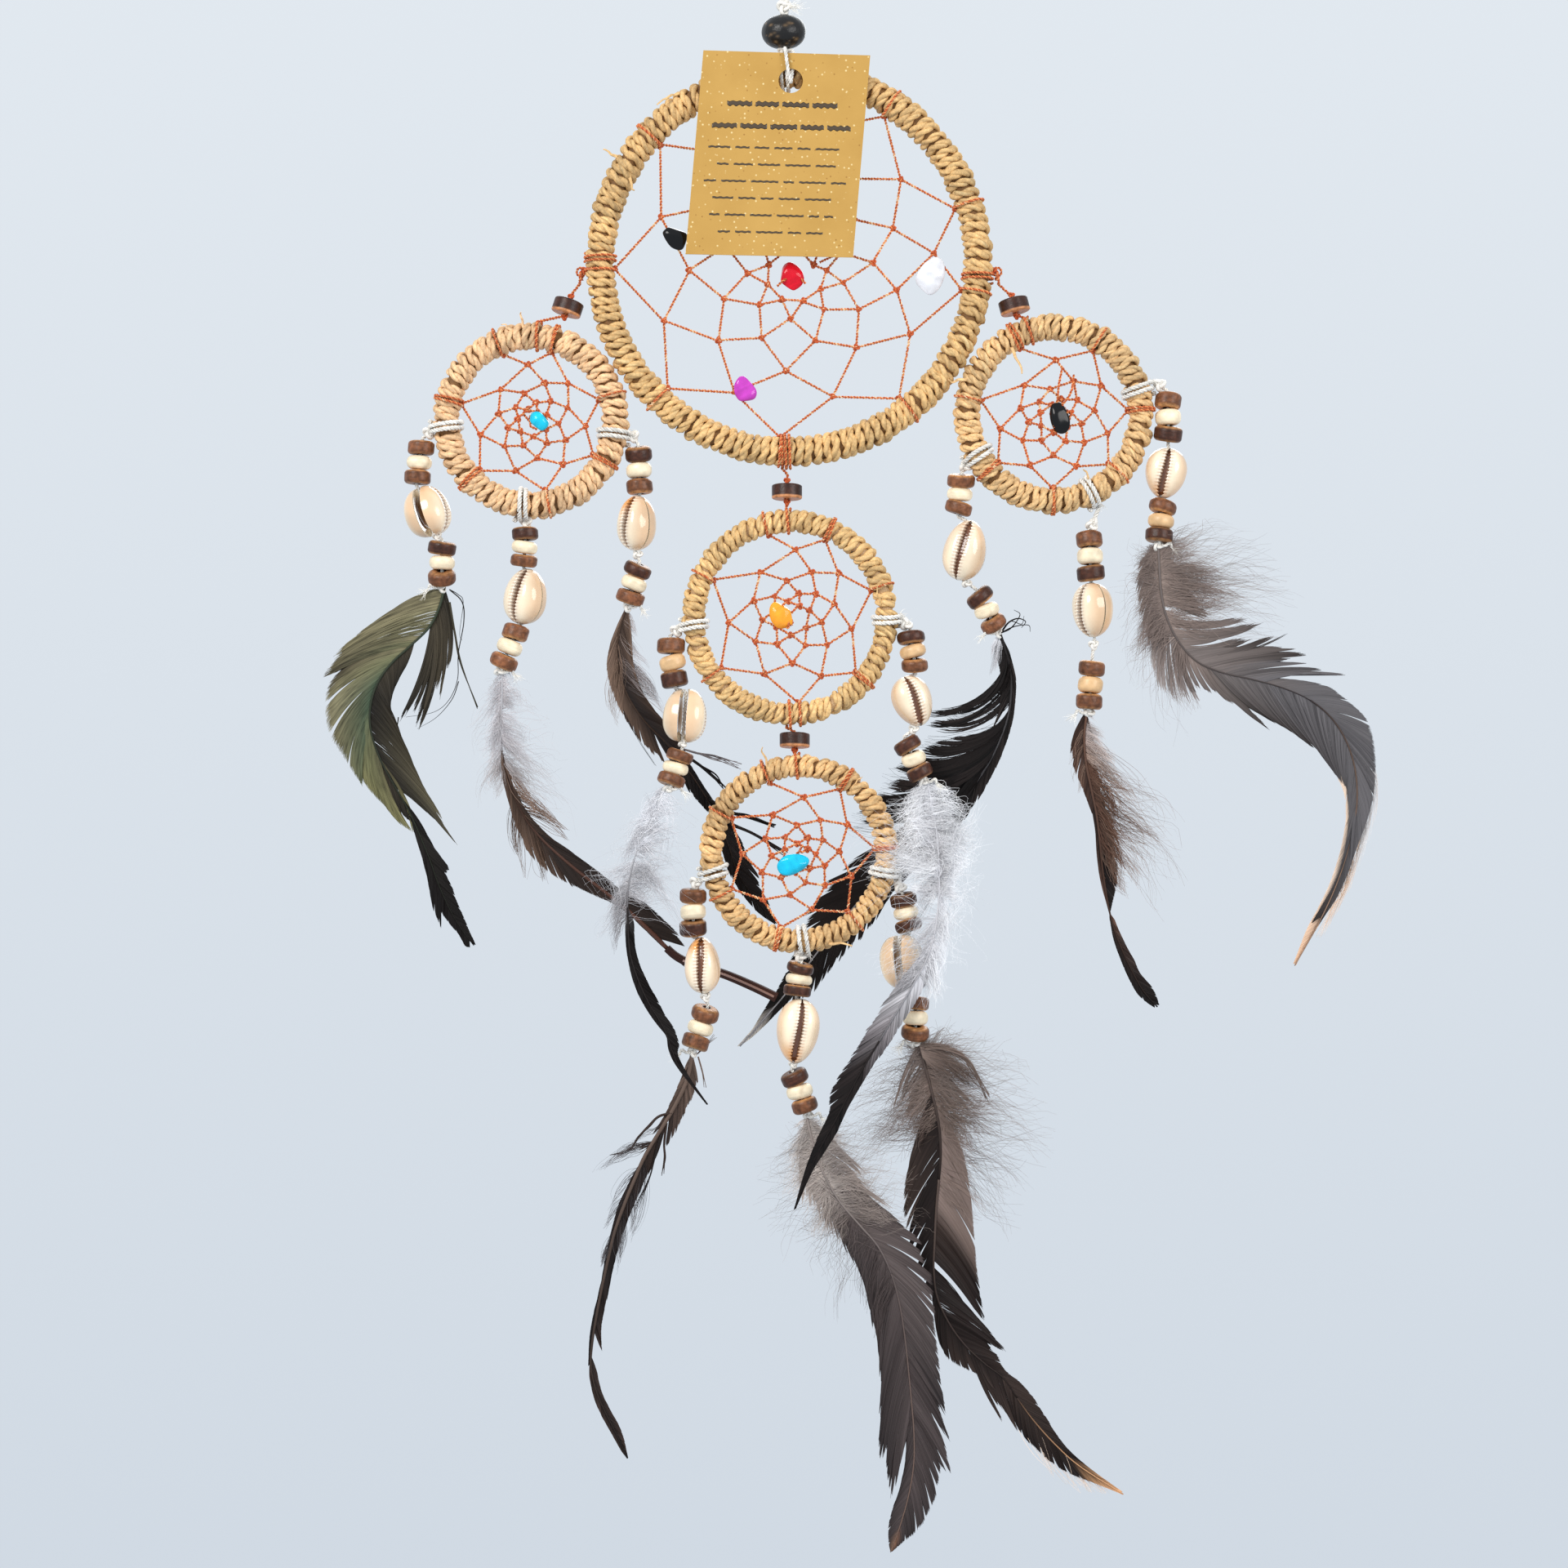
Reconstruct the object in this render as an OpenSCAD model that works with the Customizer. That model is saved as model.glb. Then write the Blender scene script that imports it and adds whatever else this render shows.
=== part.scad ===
// Dream catcher with five grass-wrapped hoops, twine webs, and bead strands that end in feathers.
// +X is right, +Z is up and the front faces -Y. The origin is where the loop rests on its nail.
// A place in the hoops' plane is written [x, z], and a place in space is written [x, y, z].

/* [Hoops] */
// Mean radius of the main hoop
main_r = 74; // [73:0.5:74]
// Radius of the wrapped tube of the main hoop
main_tube = 5.6; // [5:0.1:5.6]
// Mean radius of the left hoop
left_r = 33.1; // [32:0.1:33.1]
// Mean radius of the right hoop
right_r = 34; // [33:0.1:34]
// Mean radius of the middle hoop
middle_r = 37.8; // [37:0.1:37.8]
// Mean radius of the bottom hoop
bottom_r = 34.3; // [33.5:0.1:34.3]
// Radius of the rattan core inside each wrap
core_r = 2.5; // [1.5:0.1:3]

/* [Cords] */
// Diameter of the white nylon cord
cord_d = 1.6; // [1:0.1:1.6]
// Diameter of the copper-coloured web twine
twine_d = 1; // [0.6:0.1:1]
// Sides of a cord's section
cord_sides = 6; // [5:1:6]
// Sides of a twine's section
twine_sides = 5; // [4:1:5]

/* [Beads] */
// Diameter of the coconut and bone beads
bead_d = 10.6; // [9:0.1:10.6]
// Bore of those beads
bead_bore = 2.4; // [2.2:0.1:3]
// Gap between neighbouring beads
bead_gap = 0.3; // [0.2:0.1:0.6]
// Bevel on each bead's rim
bead_bevel = 1; // [0.5:0.1:1.2]
// Diameter of the disc bead on each link
disc_d = 11.8; // [10:0.1:11.8]
// Thickness of the disc bead on each link
disc_t = 5.6; // [4:0.1:6]
// Diameter of the seed bead under the hanging loop
seed_d = 17.3; // [16:0.1:17.3]
// Height of the seed bead
seed_h = 13.4; // [11:0.1:13.4]
// Bore of the seed bead
seed_bore = 3.4; // [3:0.1:4]

/* [Cowries] */
// How far a cowrie stands out from its cut back
cowrie_depth = 8.5; // [6:0.5:9]
// Gap between the cut backs of a pair, where the cord runs
cowrie_gap = 2.4; // [2.2:0.1:3]

/* [Tag] */
// Thickness of the card tag
tag_t = 0.6; // [0.4:0.1:0.8]
// Diameter of the hole in the tag
tag_hole_d = 9.5; // [8:0.5:10]

/* [Feathers] */
// Thickness of a feather at its shaft
feather_t = 1.2; // [0.8:0.1:1.4]

/* [Hidden] */
$fn = 48;

grass = "burlywood";
twine = "chocolate";
nylon = "white";
coconut = "saddlebrown";
bone = "antiquewhite";

// Hoops: name, centre, mean radius, tube radius, web anchor angles, rows, web eye's offset
main_hoop = ["main", [2, -151], main_r, main_tube,
    [97, 57, 18, -9, -51, -93, -134, -178, -222.5], 5, [2.5, -5]];
left_hoop = ["left", [-99.2, -212.8], left_r, 5.2,
    [112.7, 73, 17, -28.8, -78.3, -135.5, -193.2], 4, [0, 0]];
right_hoop = ["right", [105.8, -210.2], right_r, 5,
    [118, 58.4, 3, -42.8, -91.2, -138.8, -190.4], 4, [0, 0]];
middle_hoop = ["middle", [2.4, -290], middle_r, 4.4,
    [104.6, 65.9, 18.5, -39.8, -84.5, -144, -206], 4, [0, 1]];
bottom_hoop = ["bottom", [5.8, -382.4], bottom_r, 4.5,
    [112.2, 57.6, 3.9, -50.2, -103.5, -152.2, -207.5], 4, [0, -1]];
HOOPS = [main_hoop, left_hoop, right_hoop, middle_hoop, bottom_hoop];

// How strongly each web row pulls the row before it towards the eye
pulls = [0.86, 0.8, 0.78, 0.68, 0.66];
// How far a twine sits in front of or behind the hoops' plane where two of them cross
web_lift = 0.56 * twine_d;

// Links: hoop, tilt of the disc bead, disc centre, angle where the twine is bound on the hoop,
// and the twine's points above the disc
LINKS = [
    [left_hoop, 18, [-84.8, -168.5], 85, [[-83.4, -163.6]]],
    [right_hoop, -14, [90.2, -168], 106.5, [[88.6, -163.6]]],
    [middle_hoop, 0, [1.2, -240.8], 91, [[1.4, -234]]],
    [bottom_hoop, 0, [4.2, -338.1], 91, []]];
// The eyes that hang the left and right links: radius, height and distance from the main hoop
eye_r = 2.4;
eye_z = -157;
eye_out = 1.9;

// Stones: centre, size across, size along, tilt
main_stones_at = [
    [[-42.6, -141.1], 7, 10, -55, "black"],
    [[2.2, -157.4], 5, 6.5, -30, "crimson"],
    [[57.6, -156.2], 8, 12, 25, "snow"],
    [[-15.4, -200.6], 6.5, 9, -15, "mediumvioletred"]];
STONES = [
    [left_hoop, [-97.2, -212.6], 5.4, 6.6, -40, "deepskyblue"],
    [right_hoop, [107.8, -211.6], 6, 10, -10, "black"],
    [middle_hoop, [-1, -289], 7, 10, -35, "orange"],
    [bottom_hoop, [3.4, -386.6], 6, 11, 70, "deepskyblue"]];
stone_depth = 5;

// Strands: name, hoop, tie angle, knot, first and third bead, cowrie centre, width, height, tilt,
// fourth and sixth bead
STRANDS = [
    ["left_outer", left_hoop, 184, [-139, -217.5], [-142.2, -223.5], [-143.6, -235],
        [-140, -248.5], 17, 20, -18, [-134, -262.8], [-134, -274.2]],
    ["left_bottom", left_hoop, -96, [-101, -252.6], [-101.4, -257.2], [-101.9, -267.7],
        [-101.2, -281.8], 18, 22, 8, [-105.2, -295.8], [-109.8, -307.2]],
    ["left_inner", left_hoop, -10.5, [-59.2, -219], [-57, -226], [-56.6, -238.7],
        [-57.6, -253], 15.4, 21.6, 3, [-57.4, -271.3], [-60.2, -282]],
    ["right_inner", right_hoop, 208, [71.2, -230.6], [69.4, -236.4], [68.4, -247],
        [71, -263.7], 17.6, 24, 12, [76.8, -282], [82.1, -292.4]],
    ["right_bottom", right_hoop, -66.3, [120.8, -253.6], [119.6, -259.4], [120.2, -272.6],
        [121.1, -287], 17, 21.5, -4, [120.5, -309.9], [119.6, -322.9]],
    ["right_outer", right_hoop, 15, [147.2, -198.8], [150.5, -205.2], [150.5, -218],
        [149.6, -233.5], 17, 20, 8, [148.4, -246.6], [147, -257.8]],
    ["middle_left", middle_hoop, 184, [-42, -295], [-44.3, -301.1], [-43, -314.1],
        [-39, -328.4], 15.5, 21, 4, [-40.9, -344.2], [-44.2, -353.6]],
    ["middle_right", middle_hoop, -2, [47.8, -292.6], [49.8, -297.8], [51.2, -308.7],
        [50.3, -322.8], 16.3, 20.4, -22, [48.4, -340], [53.2, -350.5]],
    ["bottom_left", bottom_hoop, 192, [-34.6, -394], [-35.6, -399.1], [-35.6, -411.6],
        [-31.9, -426.2], 14.7, 22.2, -3, [-30.9, -445.2], [-34.6, -456.3]],
    ["bottom_center", bottom_hoop, -88, [6.4, -422.6], [6.4, -427.3], [5.2, -436.2],
        [5.4, -452], 17.6, 25.5, 6, [4.2, -470.2], [8.1, -481.1]],
    ["bottom_right", bottom_hoop, -13, [45.4, -395.6], [46.8, -400.6], [48.8, -410.6],
        [46, -424.8], 14, 21, -5, [51.4, -441], [51.4, -452.6]]];

// Feathers, in the strands' order: points down the shaft, each with the vane's width to the left
// and to the right of it. The depths keep a feather that passes behind or in front clear.
FEATHERS = [
    [[-133, 0, -279, 1, 1], [-138, -1, -291, 6, 9], [-145, -2, -303, 12, 13],
        [-156, -3, -315, 13, 12], [-161.5, -4, -330, 13, 9], [-160, -4, -342, 10, 8],
        [-150, -4, -358, 9, 7], [-142, -3, -375, 8, 5], [-137, -2, -389, 6, 4],
        [-130.5, -1, -405, 4, 3], [-122, 0, -418, 0.5, 0.5]],
    [[-111.4, 0, -312.6, 1, 1], [-111.5, 3, -328, 4, 4], [-110, 7, -345, 5, 5],
        [-107, 11, -361, 5, 6], [-102, 15, -373, 5, 7], [-92, 18, -384, 5, 8],
        [-80, 21, -393, 4, 6], [-68, 23, -400, 3, 5], [-54, 24, -410, 2.5, 3.5],
        [-40, 25, -421, 2, 2], [-23, 25, -429, 2, 2], [-5, 25, -438, 1, 1]],
    [[-61, 0, -287.4, 1, 1], [-66, 3, -300, 4, 3], [-66, 6, -315, 5, 4], [-61, 9, -328, 5, 5],
        [-52, 12, -340, 5, 5], [-41, 14, -349, 4, 5], [-32, 16, -358, 4, 4],
        [-26, 17, -370, 4, 4], [-20.5, 18, -384, 3, 4], [-13, 19, -397, 3, 3],
        [-4, 19, -409, 0.5, 0.5]],
    [[84.4, 0, -297.6, 1, 1], [88, 4, -309, 4, 4], [89.5, 8, -321, 7, 5],
        [86, 13, -337, 9, 6], [78, 18, -354, 9, 6], [66, 22, -370, 8, 6],
        [50, 25, -386, 7, 5], [34, 27, -402, 5, 4], [19, 28, -419, 3.5, 3],
        [6, 28, -437, 3, 2.5], [-7, 28, -450, 2, 2], [-17, 28, -459, 0.4, 0.4]],
    [[119, 0, -328.6, 1, 1], [115.5, -1, -340, 4, 5], [117.5, -2, -352, 4, 6],
        [122, -3, -369, 5, 6], [124, -3, -385, 5, 5], [127, -2, -402, 4, 4],
        [131, -1, -419, 3.5, 3.5], [137.5, 0, -433, 2.5, 2.5], [146, 1, -442, 0.4, 0.4]],
    [[146.6, 0, -263.4, 1, 1], [145.5, -1, -280, 7, 8], [149.5, -2, -294, 10, 11],
        [158, -3, -305, 12, 12], [170, -4, -311, 13, 12], [185, -5, -315, 13, 13],
        [200, -5, -320, 14, 13], [212, -4, -328, 13, 11], [220.5, -3, -339, 11, 8],
        [224, -2, -352, 9, 6], [223.5, 0, -368, 8, 5], [220, 2, -386, 6, 4],
        [213.5, 3, -405, 4, 3], [201, 4, -427, 0.5, 0.5]],
    [[-45.6, 0, -359.2, 1, 1], [-51, -2, -371, 5, 5], [-57, -4, -384, 6, 6],
        [-59, -6, -397, 5, 5], [-60.5, -7, -410, 4, 4], [-60.5, -8, -420, 4, 4],
        [-56.5, -9, -434, 4, 4], [-50.5, -9, -443, 3.5, 3.5], [-43.5, -9, -454, 2.5, 2.5],
        [-41, -9, -463, 2, 2], [-30, -9, -479, 0.4, 0.4]],
    [[55.6, 0, -356.4, 1, 1], [60, -3, -370, 8, 9], [62, -6, -384, 9, 10],
        [61.5, -9, -398, 8, 9], [60, -12, -410, 5, 6], [57, -13.5, -422, 4, 5],
        [51, -14, -433, 4, 4], [45, -14, -442, 4, 4], [37, -13, -453, 4, 4],
        [28, -12, -467, 4, 4], [21, -11, -482, 3.5, 3.5], [14, -10, -497, 3, 3],
        [9, -9, -509, 2, 2], [4, -8, -520, 0.4, 0.4]],
    [[-35.6, 0, -462, 1, 1], [-40, 0, -474, 3, 3], [-49, -1, -488, 4, 3],
        [-54.5, -2, -501, 3, 3], [-60, -3, -516, 3, 3], [-66, -3, -535, 3, 3],
        [-71, -3, -554, 3, 3], [-74.5, -2, -571, 3, 3], [-75.5, -1, -583, 2.5, 2.5],
        [-73, 0, -595, 2, 2], [-68.5, 1, -606, 2, 2], [-61, 2, -620, 0.4, 0.4]],
    [[9.6, 0, -487, 1, 1], [14, 1, -503, 6, 7], [20, 1, -520, 8, 8], [28, 0, -531, 10, 8],
        [38, -1, -541, 12, 8], [44.5, -2, -554, 13, 7], [46.5, -2, -574, 13, 9],
        [48.5, -2, -594, 12, 11], [50.5, -1, -614, 11, 8], [49.5, 0, -632, 8, 6],
        [46.5, 1, -646, 5, 4], [41.5, 2, -656, 0.5, 0.5]],
    [[51.8, 0, -458.2, 1, 1], [56, 3, -474, 5, 8], [59.5, 6, -492, 8, 12],
        [61.5, 8, -509, 9, 13], [61, 9, -528, 8, 12], [60, 9, -545, 6.5, 13],
        [61.5, 9, -560, 6.5, 13], [68, 9, -572, 7, 10], [78, 9, -581, 6, 7],
        [86, 10, -592, 5, 5], [94, 11, -605, 5, 4.5], [104, 12, -617, 4, 4],
        [116, 13, -626, 3, 3], [134, 14, -635.5, 0.4, 0.4]]];
feather_colours = ["darkolivegreen", "dimgray", "dimgray", "black", "dimgray", "slategray",
    "gainsboro", "lightgray", "dimgray", "slategray", "dimgray"];

// Tag corners from the top left round to the bottom left, and the hole's centre
tag_corners = [[-31.4, -69.4], [33.6, -71.4], [26.9, -150.1], [-38.4, -148.8]];
tag_hole_at = [2.6, -81.3];
tag_y = -8.1;

// The white cord: from its binding round the main hoop, up through the seed bead, to the knot
seed_z = -60.5;
knot_z = -51;
loop_route = [[-1.6, 0, -46], [-3.4, 0, -38], [-4.8, 0, -28], [-5.2, 0, -17], [-4.7, 0, -8],
    [-3.2, 0, -2], [0, 0, 0.8], [3.2, 0, -2], [4.7, 0, -8], [5.2, 0, -17], [4.8, 0, -28],
    [3.6, 0, -38], [3, 0, -46]];
// The part of the cord that holds the tag, from behind its top edge through the hole and back
tag_route = [[2, -1.3, -68.3], [2.8, -4.2, -68.5], [3.6, -6.2, -69.8], [3.6, -6.9, -72],
    [3.2, -7, -78], [2.8, -7.3, -80.8], [2.6, -8.6, -81.6], [2.2, -9.9, -80.4],
    [1.4, -10.2, -76], [0.8, -10.2, -71.6], [0.5, -9.7, -69.2], [0.3, -7.6, -68.4],
    [0.2, -3.6, -68.4], [0.1, -1.9, -68.25]];

// ---- Vectors and swept shapes ----

function unit(v) = v / norm(v);
function at(p, y = 0) = [p[0], y, p[1]];
function repeat(value, count) = [for (i = [1:count]) value];
function sum_to(list, i) = i < 0 ? 0 : list[i] + sum_to(list, i - 1);

// The direction of travel at each point of a path
function headings(p) = [for (i = [0:len(p) - 1])
    let (back = i == 0 ? [0, 0, 0] : unit(p[i] - p[i - 1]),
        ahead = i == len(p) - 1 ? [0, 0, 0] : unit(p[i + 1] - p[i]))
    unit(back + ahead)];

// A side vector at each point, carried along so that the section never twists
function square_to(n, t) = unit(n - (n * t) * t);
function sides_of(t) = [for (i = 0, n = square_to([0.36, 0.48, 0.8], t[0]); i < len(t);
    i = i + 1, n = square_to(n, t[min(i, len(t) - 1)])) n];

// A closed solid through rings of equally many points, which turn anticlockwise seen from ahead
module skin(rings) {
    n = len(rings[0]);
    last = (len(rings) - 1) * n;
    walls = [for (i = [0:len(rings) - 2]) for (k = [0:n - 1])
        [i * n + k, (i + 1) * n + k, (i + 1) * n + (k + 1) % n, i * n + (k + 1) % n]];
    caps = [[for (k = [0:n - 1]) k], [for (k = [n - 1:-1:0]) last + k]];
    polyhedron([for (r = rings) each r], concat(walls, caps));
}

// A cord along a path, with a radius at each point
module tube(path, radii, sides) {
    t = headings(path);
    s = sides_of(t);
    skin([for (i = [0:len(path) - 1])
        let (up = cross(t[i], s[i]))
        [for (k = [0:sides - 1])
            let (a = 360 * k / sides)
            path[i] + radii[i] * (cos(a) * s[i] + sin(a) * up)]]);
}

// ---- Hoops ----

function hoop_point(h, a, r) = at(h[1]) + r * [cos(a), 0, sin(a)];

// Points of a cord bound round a hoop's tube. It starts at start_a round the tube, where 0 is
// the hoop's inside and 90 the front, and moves along the hoop by pitch in each turn.
function bound(h, a, reach, turns, steps, pitch, start_a = 0) = [for (i = [0:turns * steps])
    let (turn = start_a + 360 * i / steps,
        along = pitch * (i / steps - turns / 2),
        out = [cos(a), 0, sin(a)],
        r = h[3] + reach)
    hoop_point(h, a, h[2]) - r * cos(turn) * out - [0, r * sin(turn), 0]
        + along * [-sin(a), 0, cos(a)]];

module ring_solid(h, outer, inner) {
    translate(at(h[1])) rotate([90, 0, 0]) rotate_extrude() translate([h[2], 0]) difference() {
        circle(outer);
        if (inner > 0) circle(inner);
    }
}

module core(h) {
    color("peru") ring_solid(h, core_r, 0);
}

module wrap(h) {
    color(grass) ring_solid(h, h[3], core_r);
}

// The web's knots, on the hoops' plane. The first row is the anchors, and each later knot hangs
// on the middle of a stretch of the row before it and pulls that stretch towards the web's eye.
function knots(h, found, total) = len(found) >= total ? found :
    let (n = len(h[4]),
        j = len(found),
        row = floor(j / n) - 1,
        eye = h[1] + h[6],
        middle = (found[j - n] + found[j - n + 1]) / 2)
    knots(h, concat(found, [eye + pulls[row] * (middle - eye)]), total);

function anchors(h) = [for (a = h[4]) h[1] + (h[2] - h[3] - 0.7) * [cos(a), sin(a)]];

// One twine makes the whole web. It is bound once round the hoop at each anchor, and from knot
// to knot it passes behind the knot that the next row pulls it in with.
function web_path(h) =
    let (n = len(h[4]),
        total = n * (h[5] + 1),
        v = knots(h, anchors(h), total))
    [for (i = [0:total - 1])
        each concat(
            i < n ? bound(h, h[4][i], 0.5 * twine_d, 1, 8, -1.3 * twine_d) : [at(v[i], -web_lift)],
            i + n < total ? [at(v[i + n], web_lift)] : [])];

module web(h) {
    path = web_path(h);
    color(twine) tube(path, repeat(twine_d / 2, len(path)), twine_sides);
}

// The small ring on the main hoop's outside that a side link hangs on
module hitch(side) {
    x = main_hoop[1][0] + side * (main_r + main_tube + eye_out);
    color(twine) translate([x, 0, eye_z + eye_r]) rotate([90, 0, 0])
        rotate_extrude() translate([1.7, 0]) circle(twine_d / 2);
}

module main_web() {
    web(main_hoop);
    hitch(-1);
    hitch(1);
}

// ---- Stones ----

module stone(centre, across, along, tilt, colour) {
    color(colour) translate(at(centre, -0.6)) rotate([0, tilt, 0]) hull() {
        translate([0.08 * across, 0, 0.2 * along]) scale([0.3 * across, 0.4 * stone_depth,
            0.3 * along]) sphere(1, $fn = 8);
        translate([-0.05 * across, 0, -0.14 * along]) scale([0.45 * across, 0.5 * stone_depth,
            0.36 * along]) sphere(1, $fn = 8);
    }
}

module main_stones() {
    for (s = main_stones_at) stone(s[0], s[1], s[2], s[3], s[4]);
}

// ---- Beads ----

module bead(d, bore, t, bevel) {
    rotate_extrude() polygon([[bore / 2, -t / 2], [d / 2 - bevel, -t / 2],
        [d / 2, bevel - t / 2], [d / 2, t / 2 - bevel], [d / 2 - bevel, t / 2],
        [bore / 2, t / 2]]);
}

// Three beads on the line from the first centre to the third: coconut, bone, coconut
module bead_stack(first, third) {
    step = (third - first) / 2;
    for (i = [0:2])
        color(i == 1 ? bone : coconut)
            translate(at(first + i * step)) rotate([0, atan2(step[0], step[1]), 0])
                bead(bead_d, bead_bore, norm(step) - bead_gap, bead_bevel);
}

// ---- Links between the hoops ----

module link(k) {
    h = k[0];
    disc = k[2];
    side = h == left_hoop ? -1 : 1;
    hangs_on_eye = h == left_hoop || h == right_hoop;
    above = h == bottom_hoop ? middle_hoop : main_hoop;
    lean = [sin(k[1]), cos(k[1])];
    bound_on = bound(h, k[3], 0.5 * twine_d, 2, 9, 1.3, 180);
    reach = disc_t / 2 + 0.6;
    foot = [at(disc - reach * lean), at(disc + reach * lean)];
    eye_x = main_hoop[1][0] + side * (main_r + main_tube + eye_out);
    top = hangs_on_eye
        ? concat([for (p = k[4]) at(p)],
            [for (i = [0:10]) let (a = 285 - 30 * i)
                [eye_x + side * 0.1 * (6.5 - i), eye_r * cos(a), eye_z + eye_r * sin(a)]])
        : concat([for (p = k[4]) at(p)],
            bound([above[0], above[1], above[2], above[3]], -90 - 0.8, 1, 1, 12, 1.4, 180));
    path = concat(bound_on, foot, top);
    color(twine) tube(path, repeat(twine_d / 2, len(path)), twine_sides);
    color(coconut) translate(at(disc)) rotate([0, k[1], 0])
        bead(disc_d, bead_bore, disc_t, bead_bevel);
}

// ---- Strands ----

// Half of a cowrie's section at height t from -1 to 1: a flat cut back, a round face and, along
// its middle, the mouth's groove
function cowrie_ring(t, w, h) =
    let (swell = sqrt(max(1 - t * t, 0.02)),
        half = 0.5 * w * swell * (1 + 0.1 * t),
        out = cowrie_depth * pow(swell, 0.8))
    concat([[-half, -cowrie_gap / 2, t * h / 2]],
        [for (a = [150, 120, 98]) [half * cos(a), -cowrie_gap / 2 - out * sin(a), t * h / 2]],
        [[0, -cowrie_gap / 2 - 0.75 * out, t * h / 2]],
        [for (a = [82, 60, 30]) [half * cos(a), -cowrie_gap / 2 - out * sin(a), t * h / 2]],
        [[half, -cowrie_gap / 2, t * h / 2]]);

module cowrie_pair(centre, w, h, tilt) {
    color("linen") translate(at(centre)) rotate([0, tilt, 0]) for (turn = [0, 180])
        rotate([0, 0, turn]) skin([for (t = [-1, -0.85, -0.5, 0, 0.5, 0.85, 1])
            cowrie_ring(t, w, h)]);
}

module beads(s) {
    bead_stack(s[4], s[5]);
    cowrie_pair(s[6], s[7], s[8], s[9]);
    bead_stack(s[10], s[11]);
}

// Where the cord enters or leaves a stack of three beads, a little clear of its end face
function stack_end(from, to) = to + (norm(to - from) / 4 + 0.6) * unit(to - from);

// The cord is bound twice round the hoop and knotted, and then runs through the beads and
// between the cowries to its last knot, where the feather is tied.
module thread(s) {
    r = cord_d / 2;
    tie = bound(s[1], s[2], r + 0.5, 2, 11, 2, 180);
    shell = 0.45 * s[8] * [-sin(s[9]), -cos(s[9])];
    foot = s[6] + shell;
    lower = stack_end(s[11], s[10]);
    between = (1.3 * foot + lower) / 2.3;
    room = norm(lower - foot) / 2 - 0.4;
    points = [s[3], stack_end(s[5], s[4]), stack_end(s[4], s[5]), s[6] - shell, foot, between,
        lower, s[11] + 0.5 * (stack_end(s[10], s[11]) - s[11]), stack_end(s[10], s[11])];
    color(nylon) tube(concat(tie, [for (p = points) at(p)]),
        concat(repeat(r, len(tie)), [1.7, r, r, r, r, max(r, min(room, 1.4)), r, r, 1.3]),
        cord_sides);
}

// A feather's section is a thin lens, thickest at the shaft.
module feather(i) {
    f = FEATHERS[i];
    path = [for (p = f) [p[0], p[1], p[2]]];
    t = headings(path);
    color(feather_colours[i]) skin([for (j = [0:len(f) - 1])
        let (right = unit(cross(t[j], [0, 1, 0])),
            front = cross(right, t[j]),
            half = feather_t * (j == len(f) - 1 ? 0.15 : 0.5),
            core = min(0.5, f[j][3] / 2))
        [path[j] + f[j][4] * right,
            path[j] + core * right - half * front,
            path[j] - core * right - half * front,
            path[j] - f[j][3] * right,
            path[j] - core * right + half * front,
            path[j] + core * right + half * front]]);
}

// ---- Top ----

module hanging_cord() {
    r = cord_d / 2;
    tie = bound(main_hoop, 91.2, r + 0.5, 2, 11, 2, 180);
    rise = [[0.2, 0, -69.4], [0, 0, -66.8], [0, 0, -54.6], [0, 0, knot_z - 1.6],
        [0, 0, knot_z + 1]];
    color(nylon) {
        tube(concat(tie, rise, loop_route),
            concat(repeat(r, len(tie) + 3), [2.6, 2.2], repeat(r, len(loop_route))), cord_sides);
        tube(tag_route, repeat(r, len(tag_route)), cord_sides);
    }
}

module seed_bead() {
    edge = seed_h / 2;
    color("black") translate([0, 0, seed_z]) rotate_extrude() difference() {
        union() {
            translate([seed_d / 2 - edge, 0]) circle(edge);
            translate([0, -edge]) square([seed_d / 2 - edge, seed_h]);
        }
        translate([-seed_d, -seed_h]) square([seed_d + seed_bore / 2, 2 * seed_h]);
    }
}

module tag_card() {
    color("goldenrod") translate([0, tag_y, 0]) rotate([90, 0, 0]) linear_extrude(tag_t)
        difference() {
            polygon(tag_corners);
            translate(tag_hole_at) circle(tag_hole_d / 2);
        }
}

hanging_cord();
seed_bead();
tag_card();
core(main_hoop);  // main_core
wrap(main_hoop);  // main_wrap
main_web();
main_stones();
for (i = [0:len(LINKS) - 1]) {
    h = LINKS[i][0];
    s = STONES[i];
    core(h);
    wrap(h);
    web(h);
    stone(s[1], s[2], s[3], s[4], s[5]);
    link(LINKS[i]);
}
for (i = [0:len(STRANDS) - 1]) {
    s = STRANDS[i];
    beads(s);
    thread(s);
    feather(i);
}
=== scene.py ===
"""Looks of the dream catcher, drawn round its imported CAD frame.

Lengths are in millimetres in the row frame until mesh_object() makes metres of them:
+X is right, +Z up and -Y the front.
"""

import math

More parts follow.
